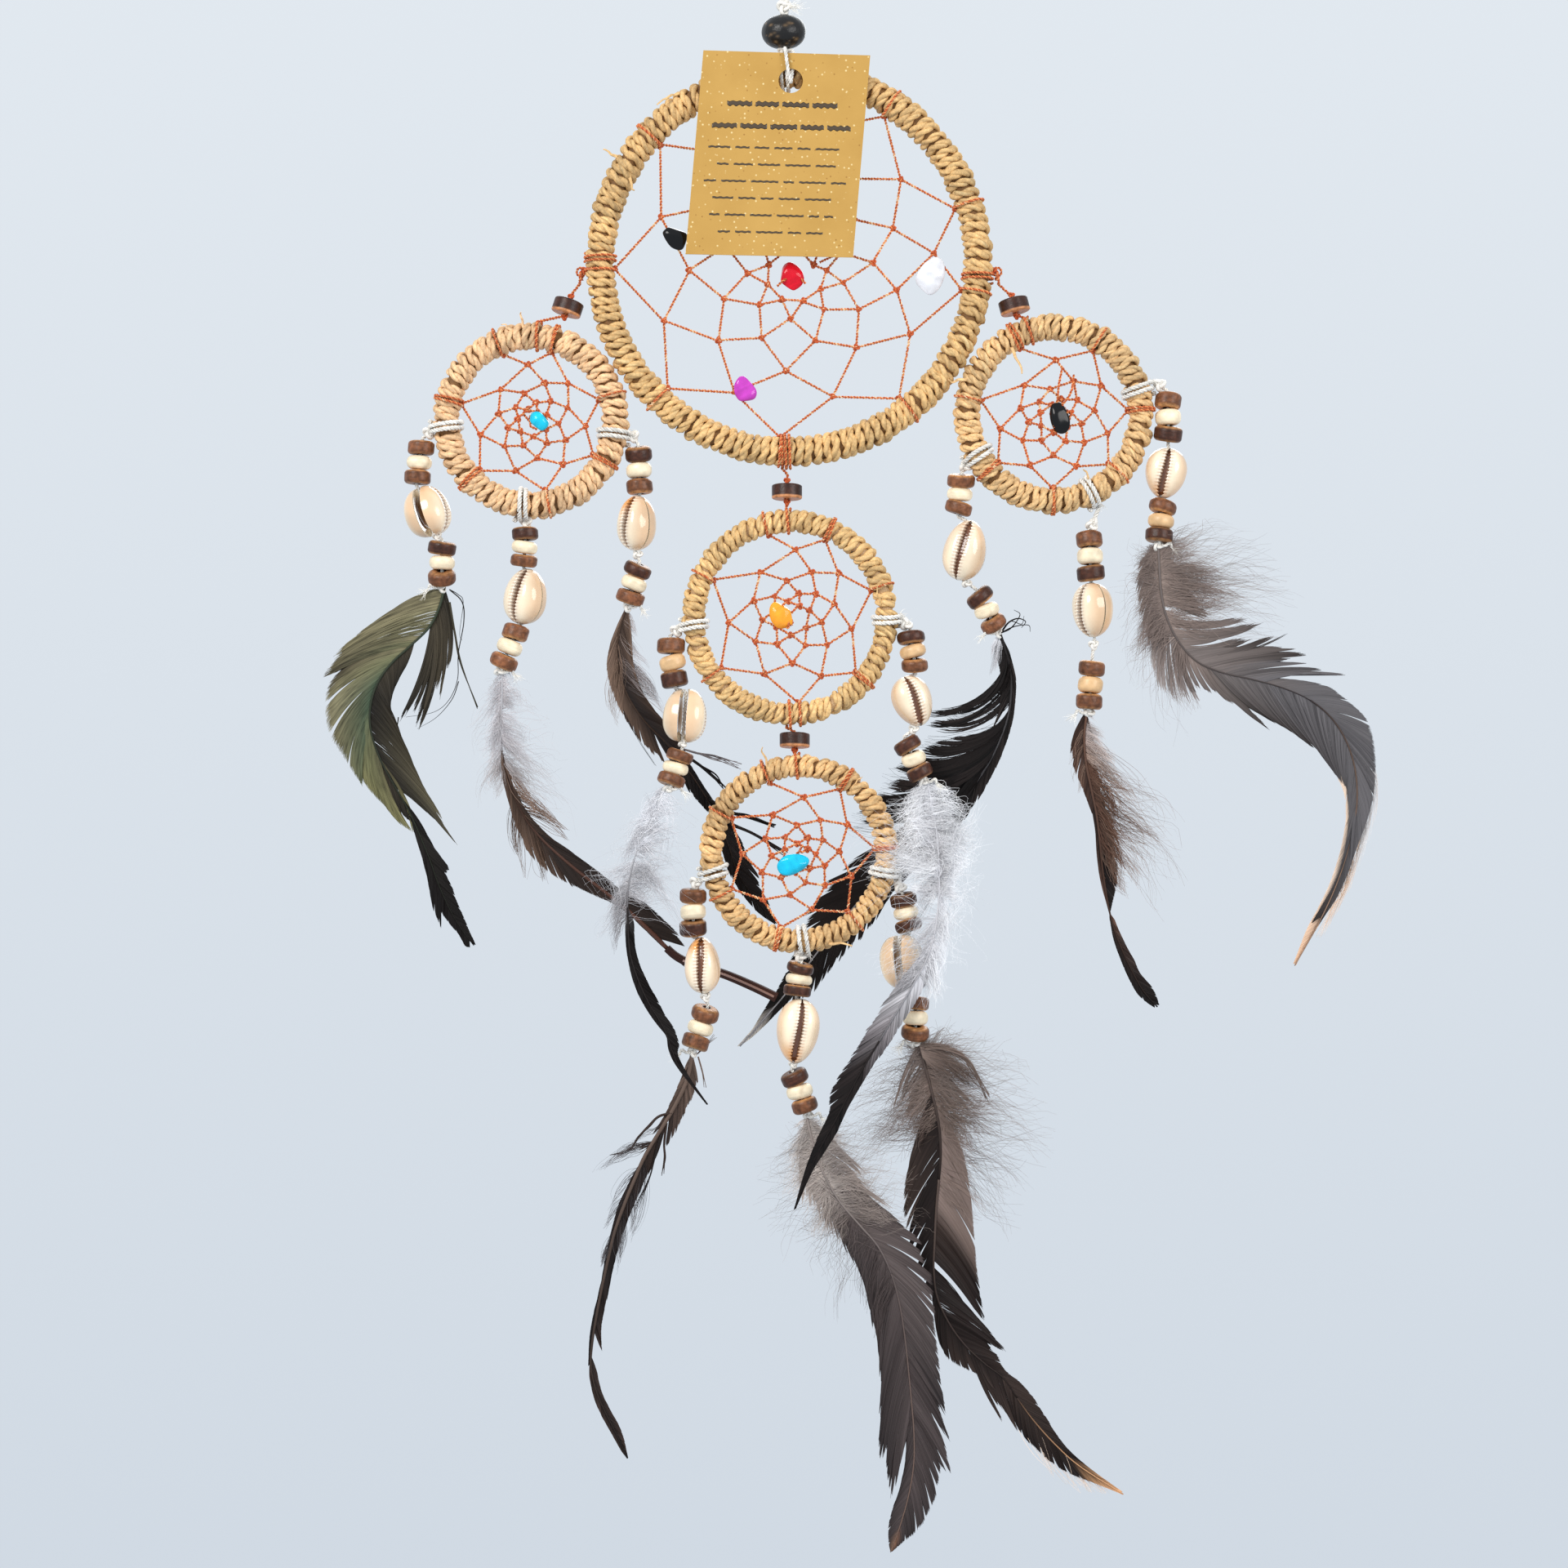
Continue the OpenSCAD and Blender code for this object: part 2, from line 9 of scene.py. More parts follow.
import bpy
import numpy as np
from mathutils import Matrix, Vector


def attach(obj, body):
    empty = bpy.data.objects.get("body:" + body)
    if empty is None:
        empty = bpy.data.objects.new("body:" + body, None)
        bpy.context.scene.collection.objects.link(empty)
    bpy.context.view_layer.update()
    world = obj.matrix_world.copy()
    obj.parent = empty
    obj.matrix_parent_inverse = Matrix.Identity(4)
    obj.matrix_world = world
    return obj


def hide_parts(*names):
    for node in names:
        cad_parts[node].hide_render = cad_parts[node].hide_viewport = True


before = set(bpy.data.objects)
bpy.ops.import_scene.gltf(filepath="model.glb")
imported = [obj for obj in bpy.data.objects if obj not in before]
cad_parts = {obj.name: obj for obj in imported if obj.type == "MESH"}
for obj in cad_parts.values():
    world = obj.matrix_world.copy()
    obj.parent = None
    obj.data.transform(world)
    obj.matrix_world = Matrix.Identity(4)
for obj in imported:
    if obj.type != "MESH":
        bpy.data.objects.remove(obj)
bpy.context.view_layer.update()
rng = np.random.default_rng(11)

METRES = 0.001
UP = np.array([0.0, 0.0, 1.0])
FRONT = np.array([0.0, -1.0, 0.0])


# ---------------------------------------------------------------- camera

camera = bpy.data.objects.new("camera", bpy.data.cameras.new("camera"))
bpy.context.scene.collection.objects.link(camera)
camera.data.lens = 85.0
camera.data.sensor_width = 36.0
camera.data.dof.use_dof = False
camera.location = (0.0, -1.4507, -0.3552)
camera.rotation_euler = (math.pi / 2, 0.0, 0.0)
bpy.context.scene.camera = camera


# ---------------------------------------------------------------- small mathematics


def unit(v):
    """The same direction, one long."""
    return v / np.maximum(np.linalg.norm(v, axis=-1, keepdims=True), 1e-12)


def at(p, y=0.0):
    """The point (x, z) at depth y."""
    return np.array([p[0], y, p[1]], float)


def travel(p):
    """The distance along a polyline to each of its points."""
    return np.concatenate([[0], np.cumsum(np.linalg.norm(np.diff(p, axis=0), axis=1))])


def sample(curve, s, q):
    """The places on a curve where s, which grows along it, is q."""
    return np.stack([np.interp(q, s, curve[:, k]) for k in range(curve.shape[1])], -1)


def resample(points, step):
    """Points along a polyline at about that spacing, and their distances along it."""
    p = np.asarray(points, float)
    s = travel(p)
    q = np.linspace(0, s[-1], max(3, int(round(s[-1] / step)) + 1))
    return sample(p, s, q), q


def spline(points, per=8):
    """A smooth Catmull-Rom curve through points of any dimension."""
    p = np.asarray(points, float)
    p = np.vstack([2 * p[0] - p[1], p, 2 * p[-1] - p[-2]])
    u = np.linspace(0, 1, per, endpoint=False)[:, None]
    out = []
    for a, b, c, d in zip(p[:-3], p[1:-2], p[2:-1], p[3:]):
        square, cube = 2 * a - 5 * b + 4 * c - d, 3 * b - a - 3 * c + d
        out.append(0.5 * (2 * b + (c - a) * u + square * u**2 + cube * u**3))
    return np.vstack(out + [p[-2:-1]])


def frames(p):
    """Tangents of a path and two normals that are carried along it without twisting."""
    t = unit(np.gradient(p, axis=0))
    n = np.empty_like(t)
    first = np.array([0.36, 0.48, 0.8])
    v = first - (first @ t[0]) * t[0]
    for i, ti in enumerate(t):
        v = v - (v @ ti) * ti
        v = v / math.sqrt(v @ v)
        n[i] = v
    return t, n, np.cross(t, n)


def wander(n, step, size, channels=1):
    """Smooth random values, n long, that change over about step samples."""
    k = max(4, int(n / max(step, 1)) + 3)
    knots = rng.normal(0, size, (k, channels))
    x = np.linspace(0, k - 1.001, n)
    i = x.astype(int)
    f = (x - i)[:, None]
    f = f * f * (3 - 2 * f)
    return knots[i] * (1 - f) + knots[np.minimum(i + 1, k - 1)] * f


def srgb(*c):
    """A linear colour from one of 0 to 255."""
    c = np.array(c, float) / 255.0
    return np.where(c <= 0.04045, c / 12.92, ((c + 0.055) / 1.055) ** 2.4)


# ---------------------------------------------------------------- meshes


def grid_faces(rows, cols, closed):
    """Quads of a grid of vertices; closed joins each row's last vertex to its first."""
    i = np.arange(rows - 1)[:, None] * cols
    j = np.arange(cols if closed else cols - 1)[None, :]
    k = (j + 1) % cols
    return np.stack([i + j, i + k, i + cols + k, i + cols + j], -1).reshape(-1, 4)


class Shape:
    """Vertices, faces and colours that are gathered into one object."""

    def __init__(self):
        self.v, self.c, self.faces, self.count = [], [], {}, 0

    def add(self, v, c, *faces):
        """More vertices with their colours, and faces by their own numbers."""
        v = np.asarray(v, float).reshape(-1, 3)
        c = np.broadcast_to(np.asarray(c, float).reshape(-1, 3), (len(v), 3))
        for f in faces:
            f = np.asarray(f)
            self.faces.setdefault(f.shape[1], []).append(f + self.count)
        self.v.append(v)
        self.c.append(c)
        self.count += len(v)

    def tube(self, path, radii, colour, sides=8, roll=None, squash=1.0, normals=None, rough=0.0):
        """A tube along path. radii are one or one a point; colour is one, one a point, or one a vertex."""
        p = np.asarray(path, float)
        n = len(p)
        t, a, b = normals if normals is not None else frames(p)
        turn = np.linspace(0, 2 * np.pi, sides, endpoint=False)[None, :]
        if roll is not None:
            turn = turn + np.asarray(roll)[:, None]
        r = np.broadcast_to(np.asarray(radii, float), (n,))[:, None]
        if rough:
            r = r * (1 + wander(n, 6, rough, sides))
        ring = (np.cos(turn) * r)[..., None] * a[:, None] + (np.sin(turn) * r * squash)[..., None] * b[:,
                                                            None]
        c = np.asarray(colour, float)
        if c.ndim == 1:
            c = np.broadcast_to(c, (n, sides, 3))
        elif c.ndim == 2:
            c = np.broadcast_to(c[:, None], (n, sides, 3))
        cap = np.arange(sides)
        self.add(p[:, None] + ring, c, grid_faces(n, sides, True), cap[None, ::-1],
                 (n - 1) * sides + cap[None])

    def plies(self, path, plies, ply_r, offset, pitch, colours, step=0.5, fleck=None, streak=0.1):
        """A cord along path, twisted of several six-sided plies offset from its middle."""
        p, s = resample(path, step)
        t, a, b = frames(p)
        n, sides = len(p), 6
        for k in range(plies):
            turn = 2 * np.pi * (s / pitch + k / plies) + wander(n, 30, 0.25)[:, 0]
            c, d = np.cos(turn)[:, None], np.sin(turn)[:, None]
            r = ply_r * (1 + wander(n, 10, 0.05)[:, 0])
            shade = 1 + wander(n, 25, streak, sides) + wander(n, 60, streak)
            colour = np.asarray(colours[k % len(colours)])[None, None] * shade[..., None]
            if fleck is not None:
                on = np.clip(wander(n, 4, 1.0)[:, 0] - 0.75, 0, 0.6)[:, None, None] / 0.6
                colour = colour * (1 - on) + np.asarray(fleck) * on
            self.tube(p + offset * (c * a + d * b), r, colour, sides, roll=turn, normals=(t, a, b))

    def ribbons(self, centre, side, half, colour):
        """n ribbons of m points: centre, side and colour are (n, m, 3), and half the half widths, (n, m)."""
        n, m = half.shape
        v = np.stack([centre - side * half[..., None], centre + side * half[..., None]], 2)
        base = (np.arange(n) * m * 2)[:, None, None]
        f = base + grid_faces(m, 2, False)[None]
        self.add(v, np.repeat(colour.reshape(-1, 3), 2, axis=0), f.reshape(-1, 4))


def mesh_object(name, shape, material, body, replaces=()):
    """One piece of the visual, with the body it rides on, and the CAD nodes it stands for."""
    v = np.concatenate(shape.v) * METRES
    mesh = bpy.data.meshes.new(name)
    mesh.vertices.add(len(v))
    mesh.vertices.foreach_set("co", v.astype(np.float32).ravel())
    sizes, loops = [], []
    for k, group in shape.faces.items():
        f = np.concatenate(group)
        sizes.append(np.full(len(f), k))
        loops.append(f.ravel())
    sizes, loops = np.concatenate(sizes), np.concatenate(loops)
    mesh.loops.add(len(loops))
    mesh.loops.foreach_set("vertex_index", loops.astype(np.int32))
    mesh.polygons.add(len(sizes))
    mesh.polygons.foreach_set("loop_start", np.concatenate([[0], np.cumsum(sizes)[:-1]]).astype(np.int32))
    mesh.polygons.foreach_set("use_smooth", np.full(len(sizes), True))
    mesh.update(calc_edges=True)
    tint = mesh.color_attributes.new("tint", "FLOAT_COLOR", "POINT")
    rgba = np.ones((len(v), 4), np.float32)
    rgba[:, :3] = np.clip(np.concatenate(shape.c), 0, 1)
    tint.data.foreach_set("color", rgba.ravel())
    mesh.materials.append(material)
    o = bpy.data.objects.new(name, mesh)
    bpy.context.scene.collection.objects.link(o)
    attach(o, body)
    if replaces:
        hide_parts(*replaces)
    return o


# ---------------------------------------------------------------- materials


class Nodes:
    """A node tree in the making. Values and links are given by the name or number of a node's input."""

    def __init__(self, owner):
        owner.use_nodes = True
        self.nodes, self.links = owner.node_tree.nodes, owner.node_tree.links

    def new(self, kind, **inputs):
        """A node of that kind. inputs are by name, with _ for a space, or n0, n1 and so on by number."""
        node = self.nodes.new("ShaderNode" + kind)
        self.set(node, inputs)
        return node

    def set(self, node, inputs):
        """Links or sets each of a node's inputs."""
        for key, value in inputs.items():
            socket = node.inputs[int(key[1:]) if key[1:].isdigit() else key.replace("_", " ")]
            if isinstance(value, bpy.types.NodeSocket):
                self.links.new(value, socket)
            else:
                socket.default_value = value

    def mix(self, factor, first, second):
        """The colour between two colours or outputs."""
        node = self.nodes.new("ShaderNodeMix")
        node.data_type = "RGBA"
        self.set(node, {"n0": factor, "n6": first, "n7": second})
        return node.outputs[2]

    def place(self, output="Object"):
        """Where a point of the surface, or of the sky, is."""
        return self.nodes.new("ShaderNodeTexCoord").outputs[output]


def material(name, roughness, specular=0.5, sheen=0.0, coat=0.0, grain=None, bump=None):
    """A surface coloured by the mesh's tint. grain is (scale, darkest), bump is (scale, millimetres)."""
    m = bpy.data.materials.new(name)
    tree = Nodes(m)
    shader = tree.nodes["Principled BSDF"]
    tint = tree.new("Attribute")
    tint.attribute_name = "tint"
    colour = tint.outputs["Color"]
    if grain:
        noise = tree.new("TexNoise", Scale=grain[0], Detail=4.0, Vector=tree.place())
        shade = tree.new("MapRange", Value=noise.outputs["Fac"], From_Min=0.35, From_Max=0.65,
                         To_Min=grain[1], To_Max=1.1)
        scale = tree.nodes.new("ShaderNodeVectorMath")
        scale.operation = "SCALE"
        tree.set(scale, {"n0": colour, "Scale": shade.outputs["Result"]})
        colour = scale.outputs["Vector"]
    tree.set(shader, {"Base Color": colour})
    if bump:
        noise = tree.new("TexNoise", Scale=bump[0], Detail=3.0, Vector=tree.place())
        b = tree.new("Bump", Distance=bump[1] * METRES, Strength=1.0, Height=noise.outputs["Fac"])
        tree.set(shader, {"Normal": b.outputs["Normal"]})
    tree.set(shader, {"Roughness": roughness, "Specular IOR Level": specular, "Sheen Weight": sheen,
                      "Coat Weight": coat, "Coat Roughness": 0.1})
    return m


M_GRASS = material("grass", 0.62, 0.35, grain=(900, 0.78))
M_TWINE = material("twine", 0.55, 0.35, sheen=0.15)
M_NYLON = material("nylon", 0.38, 0.5, sheen=0.25)
M_COCONUT = material("coconut", 0.36, 0.28, grain=(620, 0.55), bump=(900, 0.1))
M_BONE = material("bone", 0.35, 0.45, grain=(260, 0.82), bump=(700, 0.06))
M_SHELL = material("shell", 0.16, 0.5, coat=0.5, grain=(90, 0.9))
M_STONE = material("stone", 0.14, 0.24, coat=0.12, grain=(300, 0.9))
M_SEED = material("seed", 0.3, 0.3, bump=(500, 0.25))
M_VANE = material("vane", 0.45, 0.14)
M_DOWN = material("down", 0.7, 0.1)
M_PRINT = material("print", 0.3, 0.5)


def card_material():
    """Kraft card: a warm brown with pale flecks and a few dark ones."""
    m = bpy.data.materials.new("kraft")
    tree = Nodes(m)
    place = tree.place()

    def fleck(scale, low, high):
        """Scattered spots, 1 in their middles and 0 between them."""
        cells = tree.new("TexVoronoi", Scale=scale, Vector=place)
        reach = tree.new("MapRange", Value=cells.outputs["Distance"], From_Min=low, From_Max=high,
                         To_Min=1.0, To_Max=0.0)
        return reach.outputs["Result"]

    cloud = tree.new("TexNoise", Scale=60.0, Detail=8.0, Vector=place).outputs["Fac"]
    colour = tree.mix(cloud, (*srgb(170, 130, 64), 1), (*srgb(194, 154, 84), 1))
    colour = tree.mix(fleck(420.0, 0.08, 0.2), colour, (*srgb(222, 200, 146), 1))
    colour = tree.mix(fleck(310.0, 0.04, 0.14), colour, (*srgb(150, 108, 52), 1))
    tree.set(tree.nodes["Principled BSDF"],
             {"Base Color": colour, "Roughness": 0.75, "Specular IOR Level": 0.2})
    return m


# ---------------------------------------------------------------- where things are

# Hoops: centre, mean radius, tube radius, web anchor angles, web rows, web eye's offset, turns of winding
HOOPS = {
    "main": ((2, -151), 74, 5.6, (97, 57, 18, -9, -51, -93, -134, -178, -222.5), 5, (2.5, -5), 133),
    "left": ((-99.2, -212.8), 33.1, 5.2, (112.7, 73, 17, -28.8, -78.3, -135.5, -193.2), 4, (0, 0), 62),
    "right": ((105.8, -210.2), 34, 5.0, (118, 58.4, 3, -42.8, -91.2, -138.8, -190.4), 4, (0, 0), 66),
    "middle": ((2.4, -290), 37.8, 4.4, (104.6, 65.9, 18.5, -39.8, -84.5, -144, -206), 4, (0, 1), 72),
    "bottom": ((5.8, -382.4), 34.3, 4.5, (112.2, 57.6, 3.9, -50.2, -103.5, -152.2, -207.5), 4, (0, -1), 64),
}
# the share of its distance from the eye that each further row of a web keeps
PULLS = (0.86, 0.8, 0.78, 0.68, 0.66)
GRASS = {
    "main": srgb(213, 174, 118),
    "left": srgb(226, 186, 142),
    "right": srgb(219, 180, 128),
    "middle": srgb(214, 176, 120),
    "bottom": srgb(219, 178, 124),
}
COPPER = srgb(188, 82, 32)
# a paler copy of the copper for the twine's second ply: painted highlight on the twist
COPPER_PAINTED_HIGHLIGHT = srgb(222, 137, 76)
WHITE = srgb(232, 228, 220)
TWO_WHITES = WHITE, WHITE * 0.93
THREE_WHITES = WHITE, WHITE * 0.93, WHITE * 0.97
THREAD_WHITES = WHITE, WHITE * 0.92, WHITE * 0.97

# Strands: hoop, tie angle, knot, first and third bead, cowrie's centre, width, height and tilt,
# fourth and sixth bead
STRANDS = {
    "left_outer": ("left", 184, (-139, -217.5), (-142.2, -223.5), (-143.6, -235),
        (-140, -248.5), 17, 20, -18, (-134, -262.8), (-134, -274.2)),
    "left_bottom": ("left", -96, (-101, -252.6), (-101.4, -257.2), (-101.9, -267.7),
        (-101.2, -281.8), 18, 22, 8, (-105.2, -295.8), (-109.8, -307.2)),
    "left_inner": ("left", -10.5, (-59.2, -219), (-57, -226), (-56.6, -238.7),
        (-57.6, -253), 15.4, 21.6, 3, (-57.4, -271.3), (-60.2, -282)),
    "right_inner": ("right", 208, (71.2, -230.6), (69.4, -236.4), (68.4, -247),
        (71, -263.7), 17.6, 24, 12, (76.8, -282), (82.1, -292.4)),
    "right_bottom": ("right", -66.3, (120.8, -253.6), (119.6, -259.4), (120.2, -272.6),
        (121.1, -287), 17, 21.5, -4, (120.5, -309.9), (119.6, -322.9)),
    "right_outer": ("right", 15, (147.2, -198.8), (150.5, -205.2), (150.5, -218),
        (149.6, -233.5), 17, 20, 8, (148.4, -246.6), (147, -257.8)),
    "middle_left": ("middle", 184, (-42, -295), (-44.3, -301.1), (-43, -314.1),
        (-39, -328.4), 15.5, 21, 4, (-40.9, -344.2), (-44.2, -353.6)),
    "middle_right": ("middle", -2, (47.8, -292.6), (49.8, -297.8), (51.2, -308.7),
        (50.3, -322.8), 16.3, 20.4, -22, (48.4, -340), (53.2, -350.5)),
    "bottom_left": ("bottom", 192, (-34.6, -394), (-35.6, -399.1), (-35.6, -411.6),
        (-31.9, -426.2), 14.7, 22.2, -3, (-30.9, -445.2), (-34.6, -456.3)),
    "bottom_center": ("bottom", -88, (6.4, -422.6), (6.4, -427.3), (5.2, -436.2),
        (5.4, -452), 17.6, 25.5, 6, (4.2, -470.2), (8.1, -481.1)),
    "bottom_right": ("bottom", -13, (45.4, -395.6), (46.8, -400.6), (48.8, -410.6),
        (46, -424.8), 14, 21, -5, (51.4, -441), (51.4, -452.6)),
}


def hoop_point(hoop, angle, r):
    """The point at that angle and distance from a hoop's centre."""
    a = math.radians(angle)
    return at(HOOPS[hoop][0]) + r * np.array([math.cos(a), 0, math.sin(a)])


def bound(hoop, angle, reach, turns, pitch, start=0.0, steps=18):
    """Points of a cord bound round a hoop's tube: 0 is the hoop's inside and 90 the front."""
    centre, R, tube = HOOPS[hoop][:3]
    a = math.radians(angle)
    out, along = np.array([math.cos(a), 0, math.sin(a)]), np.array([-math.sin(a), 0, math.cos(a)])
    step = np.arange(int(turns * steps) + 1)
    turn = np.radians(start + 360 * step / steps)[:, None]
    move = pitch * (step / steps - turns / 2)[:, None]
    r = tube + reach
    return hoop_point(hoop, angle, R) - r * np.cos(turn) * out + r * np.sin(turn) * FRONT + move * along


# ---------------------------------------------------------------- hanging cord

loop_route = spline(
    [(-1.3, 0, -47.6), (-2.6, 0, -42), (-3.9, 0, -36), (-4.9, 0, -27), (-5.2, 0, -17), (-4.7, 0, -8),
     (-3.0, 0, -1.6), (0, 0, 0.8),
     (3.0, 0, -1.6), (4.7, 0, -8), (5.2, 0, -17), (4.9, 0, -27), (4.0, 0, -36), (3.0, 0, -42),
     (2.2, 0, -47.2)], 8)
loop_path, loop_s = resample(loop_route, 0.5)
loop = Shape()
loop.plies(loop_path, 3, 0.42, 0.38, 4.2, THREE_WHITES)
loop_cord = mesh_object("hanging_loop", loop, M_NYLON, "loop", ["hanging_cord"])


def knot(shape, centre, size, r, colour, squash=(1, 1, 1), turn=0.0):
    """An overhand knot: a trefoil of cord, drawn tight."""
    sides = 6
    t = np.linspace(0, 2 * np.pi, 44)
    p = np.stack([np.sin(t) + 2 * np.sin(2 * t), -np.sin(3 * t) * 1.3, np.cos(t) - 2 * np.cos(2 * t)],
                 1) * size / 3
    p = p * np.asarray(squash)
    c, s = math.cos(turn), math.sin(turn)
    p = np.stack([p[:, 0] * c - p[:, 2] * s, p[:, 1], p[:, 0] * s + p[:, 2] * c], 1) + centre
    shade = 1 + wander(len(t), 4, 0.08, sides)
    shape.tube(p, r, np.asarray(colour) * shade[..., None], sides)


def fray(shape, start, direction, length, n, colour, spread):
    """The loose fibres of a cut cord's end."""
    m, width = 9, 0.09
    d = unit(np.asarray(direction, float) + rng.normal(0, spread, (n, 3)))
    p = np.asarray(start) + rng.normal(0, 0.25, (n, 1, 3)) + np.zeros((n, m, 3))
    size = length * rng.uniform(0.5, 1.1, (n, 1))
    for k in range(1, m):
        d = unit(d + rng.normal(0, 0.22, (n, 3)) + np.array([0, 0, -0.03]))
        p[:, k] = p[:, k - 1] + d * size / (m - 1)
    side = unit(np.cross(np.gradient(p, axis=1), FRONT + rng.normal(0, 0.3, (n, 1, 3))))
    half = np.broadcast_to(np.linspace(width, width * 0.35, m), (n, m))
    shape.ribbons(p, side, half, np.broadcast_to(np.asarray(colour), (n, m, 3)) * rng.uniform(0.85, 1.1,
                                                            (n, 1, 1)))


top = Shape()
knot(top, np.array([0, 0, -51.0]), 2.5, 0.85, WHITE, (1.0, 0.8, 1.1))
knot(top, np.array([0.4, -0.3, -48.6]), 1.9, 0.8, WHITE * 0.96, (1.0, 0.8, 0.8), 0.7)
fray(top, (1.6, -1, -51), (1, -0.2, 0.05), 8, 46, WHITE, 0.28)
top.plies([(0, 0, -54.6), (0, 0, -66.8)], 3, 0.42, 0.38, 4.2, TWO_WHITES)
knot(top, np.array([0.2, -0.6, -68.0]), 2.0, 0.7, WHITE, (1.25, 0.9, 0.6))
mesh_object("cord_and_knots", top, M_NYLON, "loop")

# where the cord goes round the main hoop it moves with the hoop, and the tag's own string moves with the tag
tie = Shape()
tie_path = np.vstack([bound("main", 91.2, 1.3, 2.0, 2.2, 180), [(0.2, 0, -69.2), (0, 0, -67.4)]])
tie.plies(tie_path, 3, 0.42, 0.38, 4.2, TWO_WHITES, step=0.6)
mesh_object("main_hoop_tie", tie, M_NYLON, "main_hoop")
tag_route = spline([(2, -1.3, -68.3), (2.8, -4.2, -68.5), (3.6, -6.2, -69.8), (3.6, -7, -72),
                    (3.2, -7.1, -78), (2.8, -7.4, -80.8), (2.6, -8.6, -81.7),
                    (2.2, -9.9, -80.4), (1.4, -10.1, -76), (0.8, -10.1, -71.6), (0.5, -9.6, -69.2),
                    (0.3, -7.6, -68.4), (0.2, -3.6, -68.4), (0.1, -1.9, -68.2)], 6)
string = Shape()
string.plies(tag_route, 3, 0.4, 0.36, 4.0, TWO_WHITES)
mesh_object("tag_string", string, M_NYLON, "tag")


# ---------------------------------------------------------------- seed bead and tag


def lathe(shape, profile, centre, axis, colour, segments, lumps, phase=0.0):
    """A turned, slightly lumpy shape about axis. profile is (radius, height) all round a closed section."""
    w = unit(np.asarray(axis, float))
    u = unit(np.cross(w, FRONT))
    v = np.cross(w, u)
    prof = np.asarray(profile, float)
    n = len(prof)
    a = np.linspace(0, 2 * np.pi, segments, endpoint=False) + phase
    bump = 1 + wander(segments, 6, lumps)[:, 0] * np.sin(np.linspace(0, np.pi, segments))
    radius, height = prof[:, :1], prof[:, 1:]
    r = np.where(radius > radius.max() * 0.5, radius * bump, radius)
    tip = np.sin(a + rng.uniform(0, 6.3)) * (lumps * 3.0) * radius
    around = np.cos(a)[:, None] * u + np.sin(a)[:, None] * v
    p = np.asarray(centre, float) + r[..., None] * around + (height + tip)[..., None] * w
    here, there = np.arange(segments), (np.arange(segments) + 1) % segments
    close = np.stack([(n - 1) * segments + here, (n - 1) * segments + there, there, here], -1)
    shape.add(p, colour, grid_faces(n, segments, True), close)


def round_section(bore, outer, height, corner):
    """A bead's closed section: from the bore's foot up the outside, with rounded corners, to its head."""
    a = np.linspace(0, np.pi / 2, 9)
    low = [(outer - corner * (1 - math.sin(t)), -height / 2 + corner * (1 - math.cos(t))) for t in a]
    low = [(bore, -height / 2 + 0.35), (bore * 1.25, -height / 2 + 0.05)] + low
    return low + [(r, -z) for r, z in reversed(low)]


SEED_RADIUS, SEED_HALF_HEIGHT, SEED_BORE = 17.3 / 2, 13.4 / 2, 1.75
SEED_SEGMENTS = 96
seed = Shape()
arc = np.linspace(-np.pi / 2 + 0.2, np.pi / 2 - 0.2, 40)
seed_profile = [(SEED_RADIUS * math.cos(t) ** 0.85, SEED_HALF_HEIGHT * math.sin(t)) for t in arc]
seed_profile = [(SEED_BORE, -6.4)] + seed_profile + [(SEED_BORE, 6.4)]
spots = np.zeros((len(seed_profile), SEED_SEGMENTS))
for _ in range(70):
    i, j, r = rng.integers(2, len(seed_profile) - 2), rng.integers(0, SEED_SEGMENTS), rng.uniform(0.5, 1.3)
    di = np.arange(len(seed_profile))[:, None] - i
    dj = (np.arange(SEED_SEGMENTS)[None] - j + SEED_SEGMENTS // 2) % SEED_SEGMENTS - SEED_SEGMENTS // 2
    spots = np.maximum(spots, np.exp(-(di**2 + (dj * 0.7) ** 2) / r**2) * rng.uniform(0.3, 0.9))
seed_colour = srgb(26, 25, 25) * (1 - spots[..., None]) + srgb(130, 104, 74) * spots[..., None]
lathe(seed, seed_profile, (0, 0, -60.5), UP, seed_colour, SEED_SEGMENTS, 0.012)
mesh_object("seed_bead_look", seed, M_SEED, "top_bead", ["seed_bead"])

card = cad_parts["tag_card"]
card.data.materials.clear()
card.data.materials.append(card_material())

# bars stand for the card's printing, two large lines and six small ones, at the depth of its face
CARD_FACE = -8.72
INK = srgb(70, 56, 40)
prints = Shape()
corners = np.array([(-31.4, -69.4), (33.6, -71.4), (26.9, -150.1), (-38.4, -148.8)], float)


def on_card(u, v):
    """A place on the card's face: u runs left to right and v from the top to the bottom, both from 0 to 1."""
    top_edge = corners[0] + u * (corners[1] - corners[0])
    low_edge = corners[3] + u * (corners[2] - corners[3])
    return top_edge + v * (low_edge - top_edge)


def bar(u0, u1, v, half):
    """One wavy bar of print, from u0 to u1 at height v of the card."""
    a, b = at(on_card(u0, v), CARD_FACE), at(on_card(u1, v), CARD_FACE)
    n = 24
    x = np.linspace(0, 1, n)[:, None]
    wave = 0.25 * half * np.sin(x * (u1 - u0) * 160 + u0 * 50)
    thick = half * (0.8 + 0.2 * np.abs(np.sin(x[:, 0] * (u1 - u0) * 90)))
    normals = [np.tile(d, (n, 1)) for d in (unit(b - a), UP, FRONT)]
    prints.tube(a + (b - a) * x + UP * wave, thick, INK, 6, squash=0.03, normals=normals)


